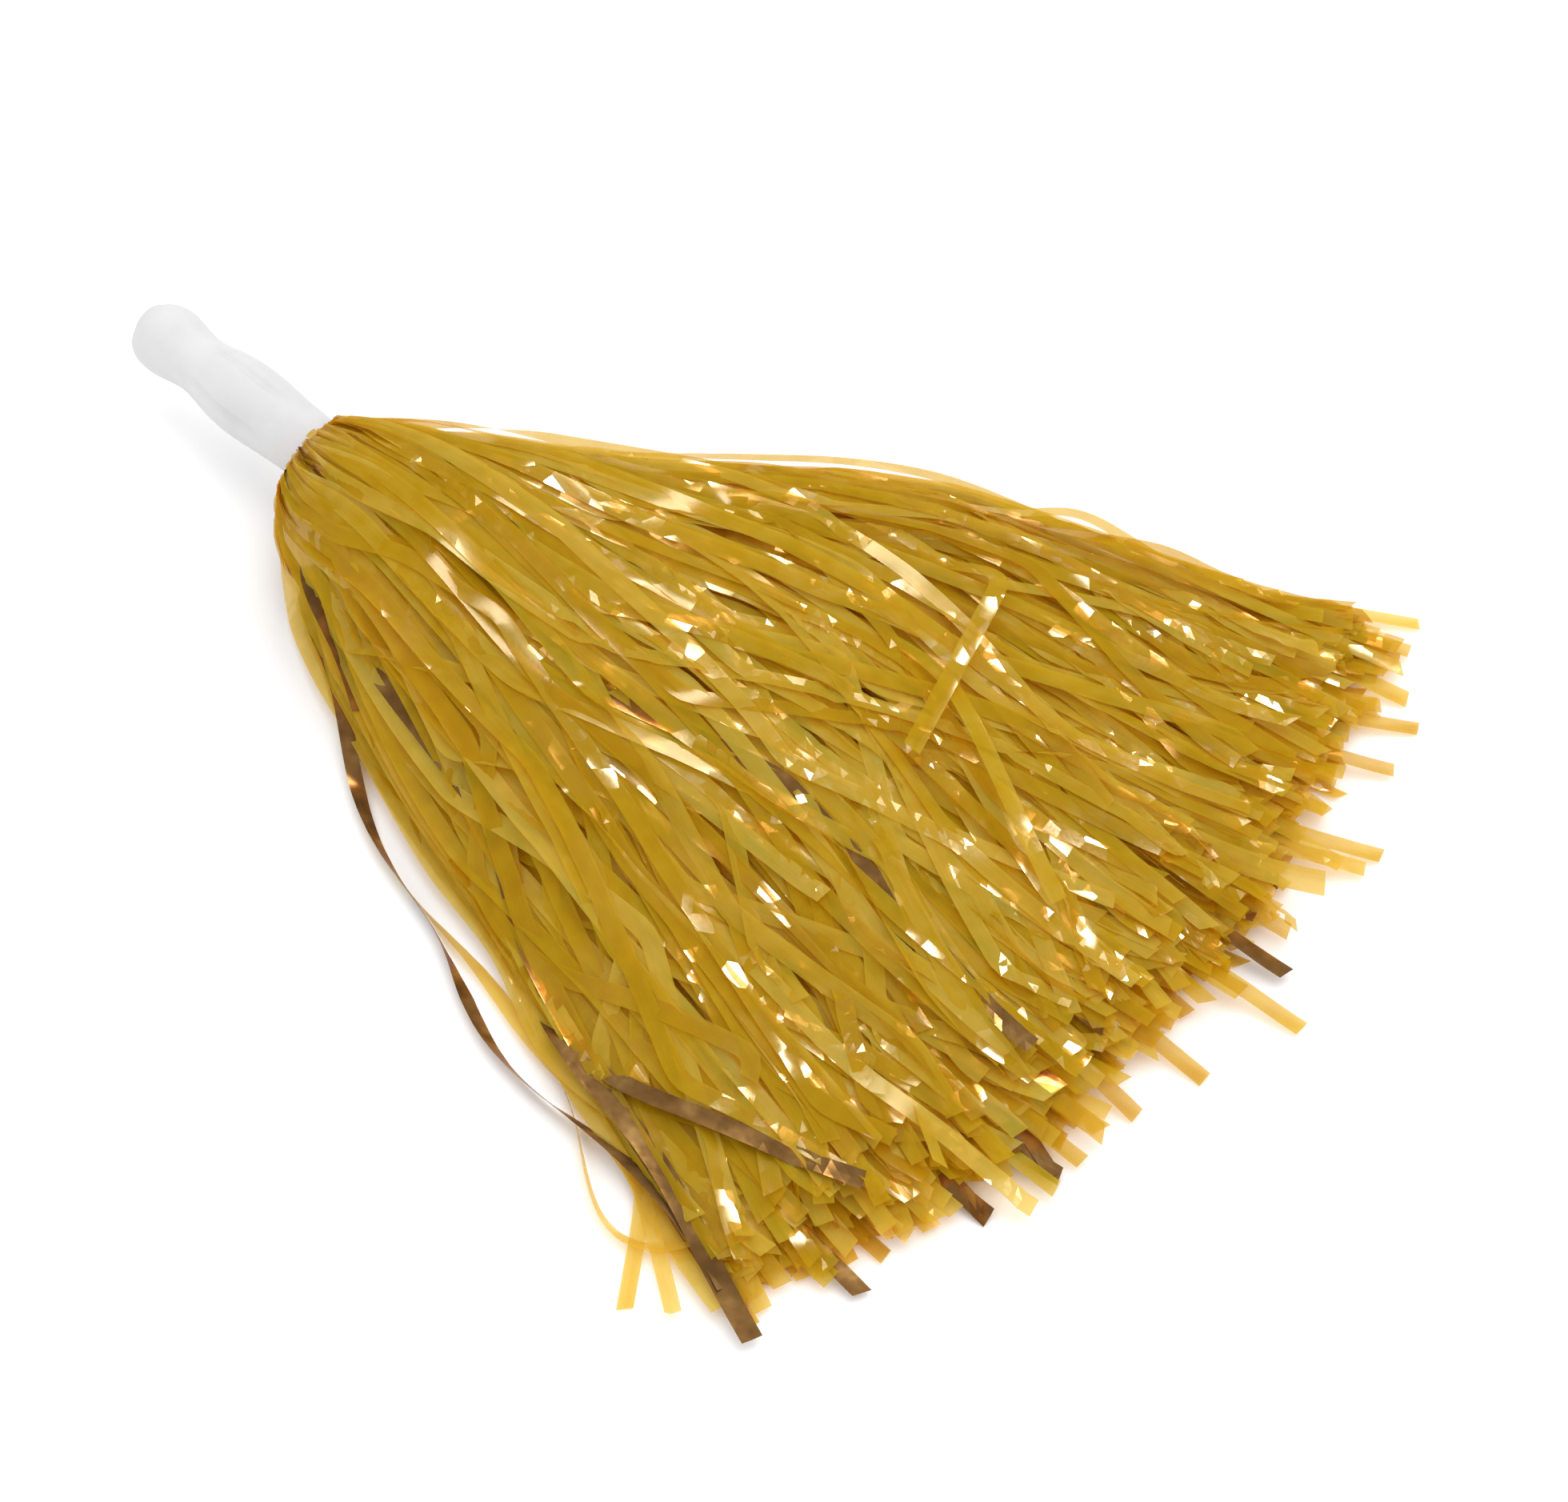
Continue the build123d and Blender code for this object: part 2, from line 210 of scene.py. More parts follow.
# ------------------------------------------------------------------ height field of the pile
CELL = 1.25
GRID_X, GRID_Y = -20.0, -190.0          # the grid's corner
GRID_SHAPE = (int(370 / CELL), int(400 / CELL))
pile_top = np.full(GRID_SHAPE, FLOOR + 0.12)


def cells(points):
    """Grid cells the points lie over."""
    return (np.clip(((points[:, 0] - GRID_X) / CELL).astype(int), 0, GRID_SHAPE[0] - 1),
            np.clip(((points[:, 1] - GRID_Y) / CELL).astype(int), 0, GRID_SHAPE[1] - 1))


# ------------------------------------------------------------------ courses of the streamers
@dataclass
class Streamer:
    tuft: str
    foil: bool
    order: float                # place in the pile; low ones are laid first
    theta: float                # direction in which it leaves the neck
    path: np.ndarray            # centre line
    s: np.ndarray               # distance from the fold at each point of the path
    width: float
    rest: tuple                 # where it starts to rest on others, and over what length
    rng: np.random.Generator
    max_lift: float = MAX_LIFT
    roll_keys: tuple = None     # distances and the roll there, in radians


def new_rng():
    return np.random.default_rng(seeds.integers(1 << 31))


def place_in_side(sign, column, rng):
    """Place across the fan at neck and tip, place in the pile, theta and depth in the dome."""
    across_range, depth_range = SIDE_RANGES[column]
    u_neck = sign * rng.uniform(*across_range)
    u_tip = sign * rng.uniform(0.74, 1.0)
    order = rng.uniform(0.03, 0.97)
    theta = sign * math.radians(92 + (0.5 - order) * 78)
    return u_neck, u_tip, order, theta, rng.uniform(*depth_range)


def place_in_fan(kind, column, rng):
    """The same five values for a streamer of the fan's six columns."""
    upper = kind.startswith("upper")
    centre = (COLUMNS - 1) / 2
    order = rng.uniform(*FAN_TUFTS[kind][1:])
    u_neck = (column - centre) / centre * (0.69 if upper else 0.74) + rng.uniform(-0.17, 0.17)
    u_tip = float(np.clip(u_neck * 1.02 + rng.normal(0, 0.24), -0.97, 0.97))
    spread = math.radians(76)
    if upper:
        theta = u_neck / 0.86 * spread
        depth = (order - MIDDLE) / (1 - MIDDLE)
    else:
        theta = math.pi - u_neck / 0.90 * spread
        depth = (MIDDLE - order) / MIDDLE
    return u_neck, u_tip, order, theta, 0.10 + 0.90 * depth ** 0.8


def pick_length(order, u_tip, rng):
    length = 301.0 - 15 * order ** 1.5 - abs(rng.normal(0, 5.5)) + rng.normal(0, 2.0)
    if rng.random() < (0.11 if order > 0.7 else 0.05):      # cut short
        length *= rng.uniform(0.76, 0.95)
    if rng.random() < 0.05:
        length += rng.uniform(2, 8)
    if u_tip < -0.8:
        length -= rng.uniform(4, 14)
    return length


def neck_course(s, theta, depth, rng):
    """Out over the dome, drifting a little round it."""
    drift = theta + rng.normal(0, 0.20) * smooth((s - 4) / 70)
    core = np.interp(s, [0, 4, 10, 44, 90], [10.2, 11.2, 11.7, 12.2, 3.0])
    # a bulge on the -Y side
    core = core + 4.4 * np.exp(-((s - 19) / 8) ** 2) * max(0.0, -math.sin(theta)) ** 4
    radius = core + np.maximum(dome(s, drift) - core, 0) * depth
    return around(s + fold_x(drift) * (1 - smooth(s / 14)), radius, drift)


def fan_course(s, u_neck, u_tip, order, rng):
    """Along its place in the fan, in nearly straight runs."""
    free = smooth((s - 25) / 230)
    u = u_neck + (u_tip - u_neck) * smooth((s - 15) / 265)
    sideways = wander(len(s), 46, rng, 1.6) * free
    sideways = sideways + bends(s, rng, first=rng.uniform(24, 60), gap=(38, 110),
                                size=lambda x: 3.5 + 13.0 * (x / 300))
    if rng.random() < 0.34:                                 # veers off across the others
        sideways = sideways + rng.normal(0, 30.0) * np.maximum(0, s - rng.uniform(25, 200)) / 130
    rho = 30.0 + s
    u = u + sideways / (rho * 0.50)
    # held softly inside the fan's edges
    soft = 0.10
    over = np.abs(u) - (1.0 - soft)
    u = np.where(over > 0, np.sign(u) * (1.0 - soft + soft * np.tanh(over / soft)), u)
    phi = fan_angle(s, u)
    z = FLOOR + 0.3 + order * pile_height(s, u)
    z = (z + wander(len(s), 22, rng, 0.22) * free * (0.5 + order)
         + bends(s, rng, first=20, gap=(24, 70), size=lambda x: 0.38))
    return np.stack([APEX[0] + rho * np.cos(phi), rho * np.sin(phi), z], 1)


def plan_streamer(tuft, place, rng):
    """One streamer's course from the fold, before it is laid on the pile."""
    u_neck, u_tip, order, theta, depth = place
    length = pick_length(order, u_tip, rng)
    width = 4.8 * rng.uniform(0.92, 1.08)
    s = np.linspace(0, 1, 170) ** 1.15 * 345.0
    near = neck_course(s, theta, depth, rng)
    far = fan_course(s, u_neck, u_tip, order, rng)
    blend = smooth((s - 14) / 62)[:, None]
    root = root_path(theta)
    points = np.concatenate([root, near * (1 - blend) + far * blend])
    run = arc_length(points)
    fold_at = run[len(root)]
    t = even_steps(length + fold_at)
    foil = rng.random() < (0.012 if order > 0.6 else 0.07)
    return Streamer(tuft, foil, order, theta, sample(points, run, t), t - fold_at, width,
                    rest=(34, 36), rng=rng)


def plan_single(tuft, degrees, foil, order, rest_from, width, points, roll_keys):
    """A streamer led through given points after it leaves the fold."""
    theta = math.radians(degrees)
    root = root_path(theta)
    points = np.concatenate([root, np.array(points, float)])
    run = arc_length(points)
    t = even_steps(run[-1])
    sharp = sample(points, run, t)
    f = smooth((t - run[len(root)] + 2) / 14)[:, None] * smooth((run[-1] - t) / 9)[:, None]
    path = sharp * (1 - f) + blur_columns(sharp, 3.0) * f
    high = order > 1.2 or (order > 1.0 and tuft.startswith("left"))
    return Streamer(tuft, foil, order, theta, path, t - run[len(root) - 1], width,
                    rest=(rest_from, 20), rng=new_rng(),
                    max_lift=FREE_LIFT if high else MAX_LIFT, roll_keys=roll_keys)


# Streamers that stand out from the rest: tuft, direction at the neck in degrees, foil,
# order in the pile, distance at which it starts to rest on others, width,
# points (x, y, z), and its roll: distances from the fold and radians there.
SINGLES = [
    # -Y edge: the thin dark one standing off, the broad pair, the loop and the short ends
    ("left_outer_tuft", -98, True, 1.7, 6, 4.6,
     [(5.5, -10.5, -0.5), (9.5, -14.0, -1.0), (15.3, -18.6, -1.5), (21.9, -22.6, -3),
      (33.9, -31.3, -6), (45.5, -37.1, -8), (57.0, -40.0, -9), (67.0, -43.8, -11),
      (78.5, -49.6, -15)],
     ([0, 12, 26, 45, 60, 110], [0.1, 0.5, -0.5, 0.25, 0.5, 0.2])),
    ("left_outer_tuft", -100, True, 0.985, 60, 4.0,
     [(4, -11, -1.5), (8.8, -13.1, -2.4), (15.3, -19.9, -4), (22.8, -25.6, -7),
      (31.6, -31.2, -9), (41.5, -36.3, -12), (52.3, -40, -14), (61.3, -43.4, -16),
      (69.0, -48.6, -18), (81.9, -57.2, -19), (96.1, -65.8, -19.5), (106.3, -70.1, -19.8),
      (114.6, -73.2, -19.8), (125.1, -75.5, -19.8), (137.2, -77.4, -19.8),
      (147.2, -81.4, -19.8), (163.3, -88.5, -19.8), (175.8, -93.5, -19.8),
      (189.2, -95.6, -19.8), (199, -95.5, -19.5), (210.4, -94.5, -18), (225.9, -94.5, -17),
      (236.5, -95.6, -17), (250.4, -97.4, -18), (260.6, -100, -19), (269.3, -103.3, -20)],
     ([0, 22, 40, 62, 82, 106, 124, 140, 152, 162, 172, 182, 192, 206, 222, 238, 300],
      [0.0, 0.35, 0.45, 0.4, 0.3, 0.45, 0.85, 1.15, 1.28, 1.3, 1.0, 0.5, 0.6, 1.0, 1.05, 0.75,
       0.4])),
    ("left_outer_tuft", -112, False, 0.97, 60, 6.4,
     [(3.3, -10.2, -4.6), (2.8, -13.3, -8), (6.8, -18.3, -11), (13.9, -24.6, -14),
      (21.0, -29.5, -16), (31.7, -33.8, -17.5), (45.3, -40, -18.5), (60.8, -46.1, -19),
      (72.6, -48.6, -19), (88.6, -54.2, -19), (103.1, -58.9, -19), (118.8, -64.2, -19),
      (131.0, -67.9, -19), (144.0, -69.4, -19), (154.0, -71.2, -19), (162.0, -73.2, -19),
      (169.0, -76.8, -18.9), (176.5, -80.6, -18.7), (187.8, -84.8, -18.2),
      (198.5, -87.6, -17.6), (207.9, -87.2, -17), (222, -86, -17), (250, -89, -18.5),
      (262, -92, -19.5)],
     ([0, 40, 100, 200, 300], [0.5, 0.2, 0.05, -0.15, 0.1])),
    ("left_outer_tuft", -110, False, 0.94, 60, 5.8,
     [(3.6, -10.1, -4), (5, -13.5, -6), (10, -18.5, -9), (20, -26, -14), (33, -32.0, -17),
      (46, -37.2, -18.5), (61.5, -43.0, -19.2), (74, -46.2, -19.2), (90, -51.6, -19.3),
      (104.5, -56.4, -19.3), (120, -61.2, -19.3), (134, -65.6, -19.3), (148.6, -68.6, -19.3),
      (160, -71.4, -19.3), (168, -75.0, -19.2), (178, -79.4, -19), (190, -84, -18.5),
      (204, -89, -18.5), (222, -92.5, -19), (240, -97, -19.5), (256, -101.5, -20)],
     ([0, 40, 100, 200, 300], [0.2, -0.1, -0.1, 0.2, 0.0])),
    ("left_inner_tuft", -104, False, 0.93, 60, 4.8,
     [(5, -11, -2), (20, -24, -8), (45, -36, -15), (80, -45.5, -17), (105, -50.5, -17.5),
      (116.0, -54.2, -17.5), (128.4, -58.6, -18), (139.1, -62.6, -18.7), (160.3, -71.0, -19),
      (181.3, -79.2, -19), (196.9, -83.2, -18.5), (210.1, -85.7, -18), (223.8, -87.6, -18),
      (240.1, -89.9, -18.6), (256.4, -94.6, -19.5), (266, -98, -20)],
     ([0, 60, 150, 220, 300], [0.1, 0.15, -0.25, 0.2, 0.0])),
    ("left_outer_tuft", -106, False, 0.9, 80, 4.2,
     [(5, -11.3, -3), (20, -22, -9), (45, -36, -17), (69.0, -48.2, -20.6),
      (81.9, -57.0, -20.9), (96.1, -65.6, -21), (106.3, -69.9, -21), (114.6, -73.0, -21),
      (127.1, -75.8, -21), (138.4, -77.3, -20.9), (144.5, -77.5, -20.8), (150.5, -78.0, -20.7),
      (157, -79.0, -20.6), (164, -80.4, -20.5), (171.5, -82.4, -20.3), (179, -84.8, -20.0),
      (188, -86.4, -19.7), (214, -88.5, -19.8), (240, -93, -20)],
     ([0, 60, 90, 150, 185, 300], [0.1, 0.9, 1.3, 1.2, 0.3, 0.1])),
    ("left_outer_tuft", -108, False, 0.62, 80, 3.4,
     [(5, -11.3, -3.6), (25, -28, -12), (60, -44, -18), (120, -61.5, -20), (147, -68.3, -20),
      (161, -72.2, -20), (176, -79.8, -19.8), (191.3, -85.9, -19.5), (197.3, -88.4, -19.6),
      (207.9, -92.8, -19.8), (220.0, -102.0, -20), (233.3, -110.0, -20.2),
      (240.9, -111.6, -20.2), (247.7, -109.3, -20.2), (252.9, -104.4, -20),
      (255.8, -99.4, -19.5), (257.2, -92.2, -19), (262, -84, -18)],
     ([0, 175, 195, 205, 235, 252, 268, 300], [0.2, 0.6, 1.1, 1.32, 1.36, 1.1, 0.5, 0.2])),
    ("left_inner_tuft", -102, True, 1.02, 200, 5.4,
     [(5, -11, -2), (25, -25, -8), (60, -39, -16), (120, -56, -20), (163, -69.5, -20.6),
      (179, -77.0, -19.5), (187, -81.0, -15.5), (192.1, -83.4, -12.5), (202.5, -85.5, -13.5),
      (215.4, -87.3, -14.6), (229.7, -89.1, -16.2), (248.6, -95.7, -17.5),
      (266.3, -102.6, -19.2), (283.3, -107.8, -20.8)],
     ([0, 180, 230, 300], [0.3, 0.25, 0.1, 0.1])),
    ("left_inner_tuft", -96, True, 1.5, 208, 4.9,
     [(6, -11, -1), (30, -27, -7), (70, -42, -15), (120, -58, -18.5), (165, -72, -20),
      (187.3, -78.4, -20), (199, -81.5, -17), (209.6, -83.4, -12.6), (222.8, -80.6, -10),
      (237.9, -75.5, -8.8), (257.4, -70.2, -8.6), (274.8, -62.8, -10.2)],
     ([0, 170, 190, 300], [0.2, 0.4, 0.05, 0.0])),
    ("left_outer_tuft", -114, False, 0.66, 90, 3.9,
     [(5, -11, -4), (25, -28, -12), (60, -43, -18), (120, -61, -19.5), (180, -78, -19),
      (214, -84.5, -19), (227.6, -89.5, -19.5), (235.9, -96.5, -20), (245.4, -108.8, -20.2),
      (255.2, -121.6, -20.8)], ([0, 300], [0.0, 0.1])),
    ("left_outer_tuft", -116, False, 0.7, 90, 3.9,
     [(5, -11, -4.5), (25, -27, -13), (60, -42, -18), (120, -60, -19.5), (180, -77, -19),
      (204, -83, -18.5), (217.9, -87.5, -19), (235.3, -97.4, -20), (249.8, -105.6, -20.4),
      (265.1, -115.4, -20.8)], ([0, 300], [0.1, -0.1])),
    ("left_inner_tuft", -112, False, 0.68, 90, 4.8,
     [(5, -11, -4), (25, -26, -12), (60, -40, -18), (120, -58, -19.5), (180, -75, -19),
      (210, -85, -18.5), (224.0, -92.5, -19.4), (237.8, -98.4, -20), (252.8, -102.6, -20.4),
      (272.2, -107.0, -20.8)], ([0, 300], [-0.1, 0.1])),
    ("left_inner_tuft", -110, False, 0.6, 90, 4.8,
     [(5, -11, -3.5), (25, -25, -11), (60, -38, -17), (120, -55, -19), (180, -71, -19),
      (230, -83, -18), (253.9, -90.5, -18.6), (266.5, -95.0, -20), (278.5, -99.6, -20.8)],
     ([0, 300], [-0.1, 0.1])),
    # on the face of the fan
    ("upper_outer_tuft_5", 42, False, 1.6, 172, 5.0,
     [(6, 9.3, 8.3), (30, 20, 17), (80, 46, 14), (130, 74, 5), (160, 90, 3),
      (170.5, 96.8, 5.5), (174.5, 94.8, 8), (176.3, 87.5, 9.6), (184, 69.5, 9.8),
      (191.5, 51, 9.4), (199.2, 31.3, 8.6)], ([0, 150, 185, 300], [0.0, 0.5, 0.05, 0.0])),
    ("upper_outer_tuft_5", 30, False, 1.55, 180, 4.8,
     [(6, 7.0, 11), (30, 14, 19.5), (80, 31, 18), (130, 48, 9), (165, 57, 6),
      (184, 58.2, 6.5), (194.5, 53.2, 8.6), (213.9, 44.3, 7.8), (235.3, 33.2, 6.6),
      (256.2, 24.2, 5.2)], ([0, 150, 185, 300], [0.0, 0.4, 0.05, 0.0])),
    # along the +Y edge
    ("right_inner_tuft", 52, False, 1.4, 300, 5.6,
     [(5, 8.9, 7.8), (11.5, 11.5, 9.6), (18, 13.6, 11.4), (22.6, 16.3, 12.9),
      (26.9, 21.3, 13.0), (31.6, 26.9, 11.6), (36.0, 32.8, 10.0), (45.4, 41.2, 8.2),
      (59.1, 51.6, 5.6), (68.4, 60.4, 3.4), (95, 80, 0), (130, 103, -3), (165, 118, -7),
      (205, 134, -12), (250, 152, -17), (262, 157, -19)],
     ([0, 12, 32, 60, 300], [0.2, 0.9, 0.75, 0.2, 0.0])),
    ("right_outer_tuft", 64, False, 1.35, 300, 4.8,
     [(5, 9.9, 5.0), (20, 17.5, 8.2), (32, 27.0, 7.2), (42.4, 37.8, 5.4), (59.0, 52.1, 3.2),
      (68.2, 61.3, 2.0), (79.7, 74.2, 0.8), (91.8, 86.8, -0.2), (103.8, 99.5, -1.0),
      (114.2, 107.8, -1.8), (129.1, 117.6, -2.6), (160, 127, -5), (200, 142, -11),
      (240, 163, -17), (252, 170, -19)],
     ([0, 50, 110, 300], [0.3, 0.8, 0.4, 0.0])),
    ("right_outer_tuft", 76, False, 1.2, 300, 4.6,
     [(5, 11.0, 2.4), (30, 26, 4), (80, 68, 1), (130, 107, -1), (156, 120, -2),
      (161.7, 125.5, 2), (165.4, 130.8, 3.6), (174.6, 132.2, 0), (196, 138, -6),
      (235, 154, -14), (255, 163, -19)],
     ([0, 130, 165, 190, 300], [0.3, 0.6, 0.9, 0.3, 0.0])),
    ("right_outer_tuft", 80, False, 1.1, 300, 4.8,
     [(5, 11.1, 1.6), (30, 28, 2), (80, 68, -1), (130, 106, -3), (170, 127, -3),
      (188.2, 135.4, -0.5), (195.1, 140.8, 0.2), (198.0, 139.2, -3), (210, 147, -8),
      (228, 162, -14), (236, 172, -19)],
     ([0, 150, 190, 215, 300], [0.3, 0.4, 0.8, 0.2, 0.0])),
    # ends that stand proud of the rest
    ("right_outer_tuft", 84, False, 0.5, 300, 4.6,
     [(5, 11.3, 1), (30, 29, -2), (80, 68, -6), (130, 103, -9), (170, 126, -12),
      (210.2, 151.4, -15), (223.5, 163.0, -17.5), (246.6, 181.2, -20.5)],
     ([0, 300], [0.1, 0.1])),
    ("right_inner_tuft", 70, False, 0.6, 90, 4.6,
     [(5, 10.6, 3), (30, 25, 4), (80, 62, -2), (130, 95, -6), (190, 126, -12),
      (233.2, 151.1, -16), (243.0, 159.9, -18), (251.6, 166.3, -20)], ([0, 300], [0.1, 0.0])),
    ("lower_inner_tuft_6", 100, False, 0.4, 90, 4.6,
     [(6, 11, -2), (40, 30, -6), (110, 64, -11), (180, 98, -13), (245.8, 129.4, -15.5),
      (258.9, 140.5, -18.4), (270.4, 151.1, -20.6)], ([0, 300], [0.1, 0.0])),
    ("lower_inner_tuft_6", 108, False, 0.4, 90, 4.6,
     [(6, 10.8, -3), (40, 28, -8), (110, 60, -12), (180, 92, -14), (249.8, 118.0, -15),
      (264.9, 126.4, -18), (275.8, 134.0, -20.4)], ([0, 300], [0.1, 0.0])),
    ("lower_inner_tuft_6", 120, False, 0.42, 90, 4.8,
     [(6, 10, -6), (40, 25, -11), (110, 52, -13), (190, 76, -13), (266.1, 92.0, -14),
      (278.6, 99.9, -17), (291.7, 109.6, -20.2)], ([0, 300], [0.1, 0.0])),
    ("lower_inner_tuft_5", 128, False, 0.4, 90, 4.8,
     [(6, 8.6, -7), (40, 23, -13), (110, 48, -14), (190, 69, -13), (266.8, 85.0, -14),
      (280.3, 94.9, -17.6), (292.0, 102.3, -20.2)], ([0, 300], [0.1, 0.0])),
    ("upper_outer_tuft_5", 28, False, 1.3, 200, 6.2,
     [(6, 6.5, 11.5), (30, 14, 19.5), (80, 28, 18), (130, 44, 8), (200, 60, -3),
      (258, 68, -11), (274.6, 75.9, -12.5), (283.0, 79.6, -11.4), (293.0, 83.4, -9.4)],
     ([0, 200, 270, 300], [0.0, 0.1, -0.5, -0.7])),
    ("upper_outer_tuft_4", 24, False, 1.3, 200, 4.6,
     [(6, 6, 12), (30, 11.5, 20), (80, 24, 18.5), (130, 40, 8), (200, 54, -3),
      (258, 64, -12.5), (273.6, 68, -14), (283.8, 71.5, -14), (292.2, 72.6, -12),
      (294.6, 68.7, -12)], ([0, 200, 270, 300], [0.0, 0.1, 0.4, 0.7])),
    ("lower_inner_tuft_5", 150, True, 0.45, 60, 4.8,
     [(8, 6, -11), (40, 18, -18), (110, 34, -16), (200, 50, -14), (262, 57.5, -14.5),
      (286.9, 59.1, -18), (300.3, 61.4, -20.5)], ([0, 300], [0.1, 0.1])),
    ("upper_inner_tuft_4", 12, False, 0.7, 60, 5.0,
     [(6, 2.4, 12), (40, 9, 16), (100, 20, 6), (180, 32, -6), (240, 40, -12),
      (271.2, 43.8, -15.5), (288.9, 48.2, -18.4), (313.3, 52.0, -20.8)],
     ([0, 300], [0.0, 0.05])),
    ("lower_inner_tuft_4", 172, False, 0.42, 60, 4.8,
     [(8, 1, -14), (60, 6, -18), (140, 13, -16), (230, 19, -14), (280.7, 20.8, -15.5),
      (292.3, 22.9, -18.5), (306.5, 23.6, -20.6)], ([0, 300], [0.1, 0.0])),
    ("lower_inner_tuft_4", 178, False, 0.45, 60, 4.8,
     [(8, 0, -14), (60, -1, -18), (140, -2, -16), (230, -1, -14), (282.3, 1.6, -15),
      (291.2, 3.5, -18), (302.3, 3.5, -20.4)], ([0, 300], [0.1, 0.0])),
    ("lower_inner_tuft_3", 185, True, 0.42, 60, 5.0,
     [(8, -2, -14), (60, -14, -18), (140, -25, -16), (230, -32, -15), (272, -31, -15.5),
      (290, -26.4, -18.2), (301.7, -23.4, -20.5)], ([0, 300], [0.1, 0.0])),
    ("lower_inner_tuft_3", 188, False, 0.44, 60, 4.8,
     [(8, -3, -14), (60, -12, -18), (140, -20, -16), (230, -21, -15), (275, -19, -16),
      (292, -17.4, -19), (302.5, -16.4, -20.5)], ([0, 300], [0.1, 0.0])),
    ("lower_inner_tuft_3", 192, True, 0.4, 60, 4.8,
     [(8, -4, -14), (60, -17, -18), (140, -31, -16), (230, -42, -16), (262, -44, -16),
      (286, -44.2, -19), (297.6, -43.7, -20.8)], ([0, 300], [0.0, -0.1])),
    ("lower_inner_tuft_2", 205, True, 0.4, 60, 4.8,
     [(8, -6, -12), (60, -27, -18), (140, -50, -18), (220, -70, -17.5), (262, -79, -18),
      (283.1, -79.9, -20), (291.5, -80.2, -20.8)], ([0, 300], [0.0, 0.1])),
    ("upper_outer_tuft_3", -14, False, 1.25, 200, 5.2,
     [(6, -4, 12.5), (40, -10, 22), (100, -23, 15), (180, -37, 0), (250, -43, -7),
      (273.6, -40.6, -8), (284, -39.6, -10), (294.4, -38.1, -13.5), (304.6, -35.7, -18)],
     ([0, 300], [0.0, 0.05])),
]


# ------------------------------------------------------------------ laying the streamers
def directions(strip):
    """Unit vectors along a streamer, across it and outward from its face."""
    along = np.gradient(strip.path, axis=0)
    along /= np.linalg.norm(along, axis=1)[:, None]
    sin, cos = math.sin(strip.theta), math.cos(strip.theta)
    blend = smooth((strip.s - 10) / 70)[:, None]
    outward = np.array([0.0, sin, cos]) * (1 - blend) + np.array([0, 0, 1.0]) * blend
    across = np.cross(along, outward)
    # at the fold the film lies round the grip
    at_fold = smooth(1 - (strip.s - 3) / 8)[:, None]
    across = across * (1 - at_fold) + np.array([0.0, -cos, sin]) * at_fold
    across /= np.maximum(np.linalg.norm(across, axis=1), 1e-6)[:, None]
    return along, across, np.cross(across, along)


def give_character(strip):
    """Random pleat, twist, arch, crinkling, tone and gap to the streamer below."""
    rng = strip.rng
    strip.pleat = rng.choice([-1, 1]) * (
        rng.uniform(0.1, 0.5) if rng.random() < 0.5 else rng.uniform(0.6, 1.2))
    strip.twist = None
    if rng.random() < 0.08:     # start, and turn in radians
        strip.twist = (rng.uniform(60, 240), rng.choice([-1, 1]) * rng.uniform(0.8, 3.1))
    strip.arch = rng.normal(0, 0.07)
    strip.crinkle = rng.gamma(1.6, 0.6)
    if strip.foil:
        strip.crinkle *= 0.5
    if strip.roll_keys:
        strip.crinkle *= 0.3
    strip.tone = rng.random()
    if strip.roll_keys and strip.tuft.startswith("left"):
        strip.tone = 0.80 + 0.2 * strip.tone
    strip.gap = 0.12 + 0.55 * rng.random() ** 2


def lay(strip):
    """Rests a streamer on what already lies in the pile and records its own top."""
    rng, path, s = strip.rng, strip.path, strip.s
    half = strip.width / 2
    rest_from, rest_over = strip.rest
    resting = smooth((s - rest_from) / rest_over)
    level = directions(strip)[1]
    level[:, 2] = 0
    level /= np.maximum(np.linalg.norm(level, axis=1), 1e-6)[:, None]
    lifts = []
    for offset in (-half * 0.85, 0.0, half * 0.85):
        below = pile_top[cells(path + level * offset)]
        need = np.pad(np.maximum(0, below + strip.gap - path[:, 2]) * resting, 1, mode="edge")
        need = np.max([need[k:k + len(path)] for k in range(3)], 0)
        lifts.append(strip.max_lift * (1 - np.exp(-blur(need, 3.2) / strip.max_lift)))
    low, centre, high = lifts
    centre = np.maximum(centre, 0.5 * (low + high) - 0.3)
    strip.tilt = np.clip((high - low) / 2, -half * 0.38, half * 0.38)
    path = path.copy()
    path[:, 2] += np.maximum((low + centre + high) / 3, centre)
    # curl of the last centimetres
    tip = np.clip((s - (s[-1] - rng.uniform(14, 40))) / 40, 0, 1)
    curl = rng.normal(0, 2.0) if rng.random() < 0.3 else rng.normal(0, 0.7)
    path[:, 2] += curl * tip ** 2 * 2.0
    path[:, 2] = np.maximum(path[:, 2], FLOOR + 0.25 + np.abs(strip.tilt) * 0.5)
    strip.path = path
    for offset in np.linspace(-half, half, 5):
        line = path + level * offset
        line[:, 2] += strip.tilt * offset / half
        for points in (line, (line[1:] + line[:-1]) / 2):
            np.maximum.at(pile_top, cells(points), points[:, 2])


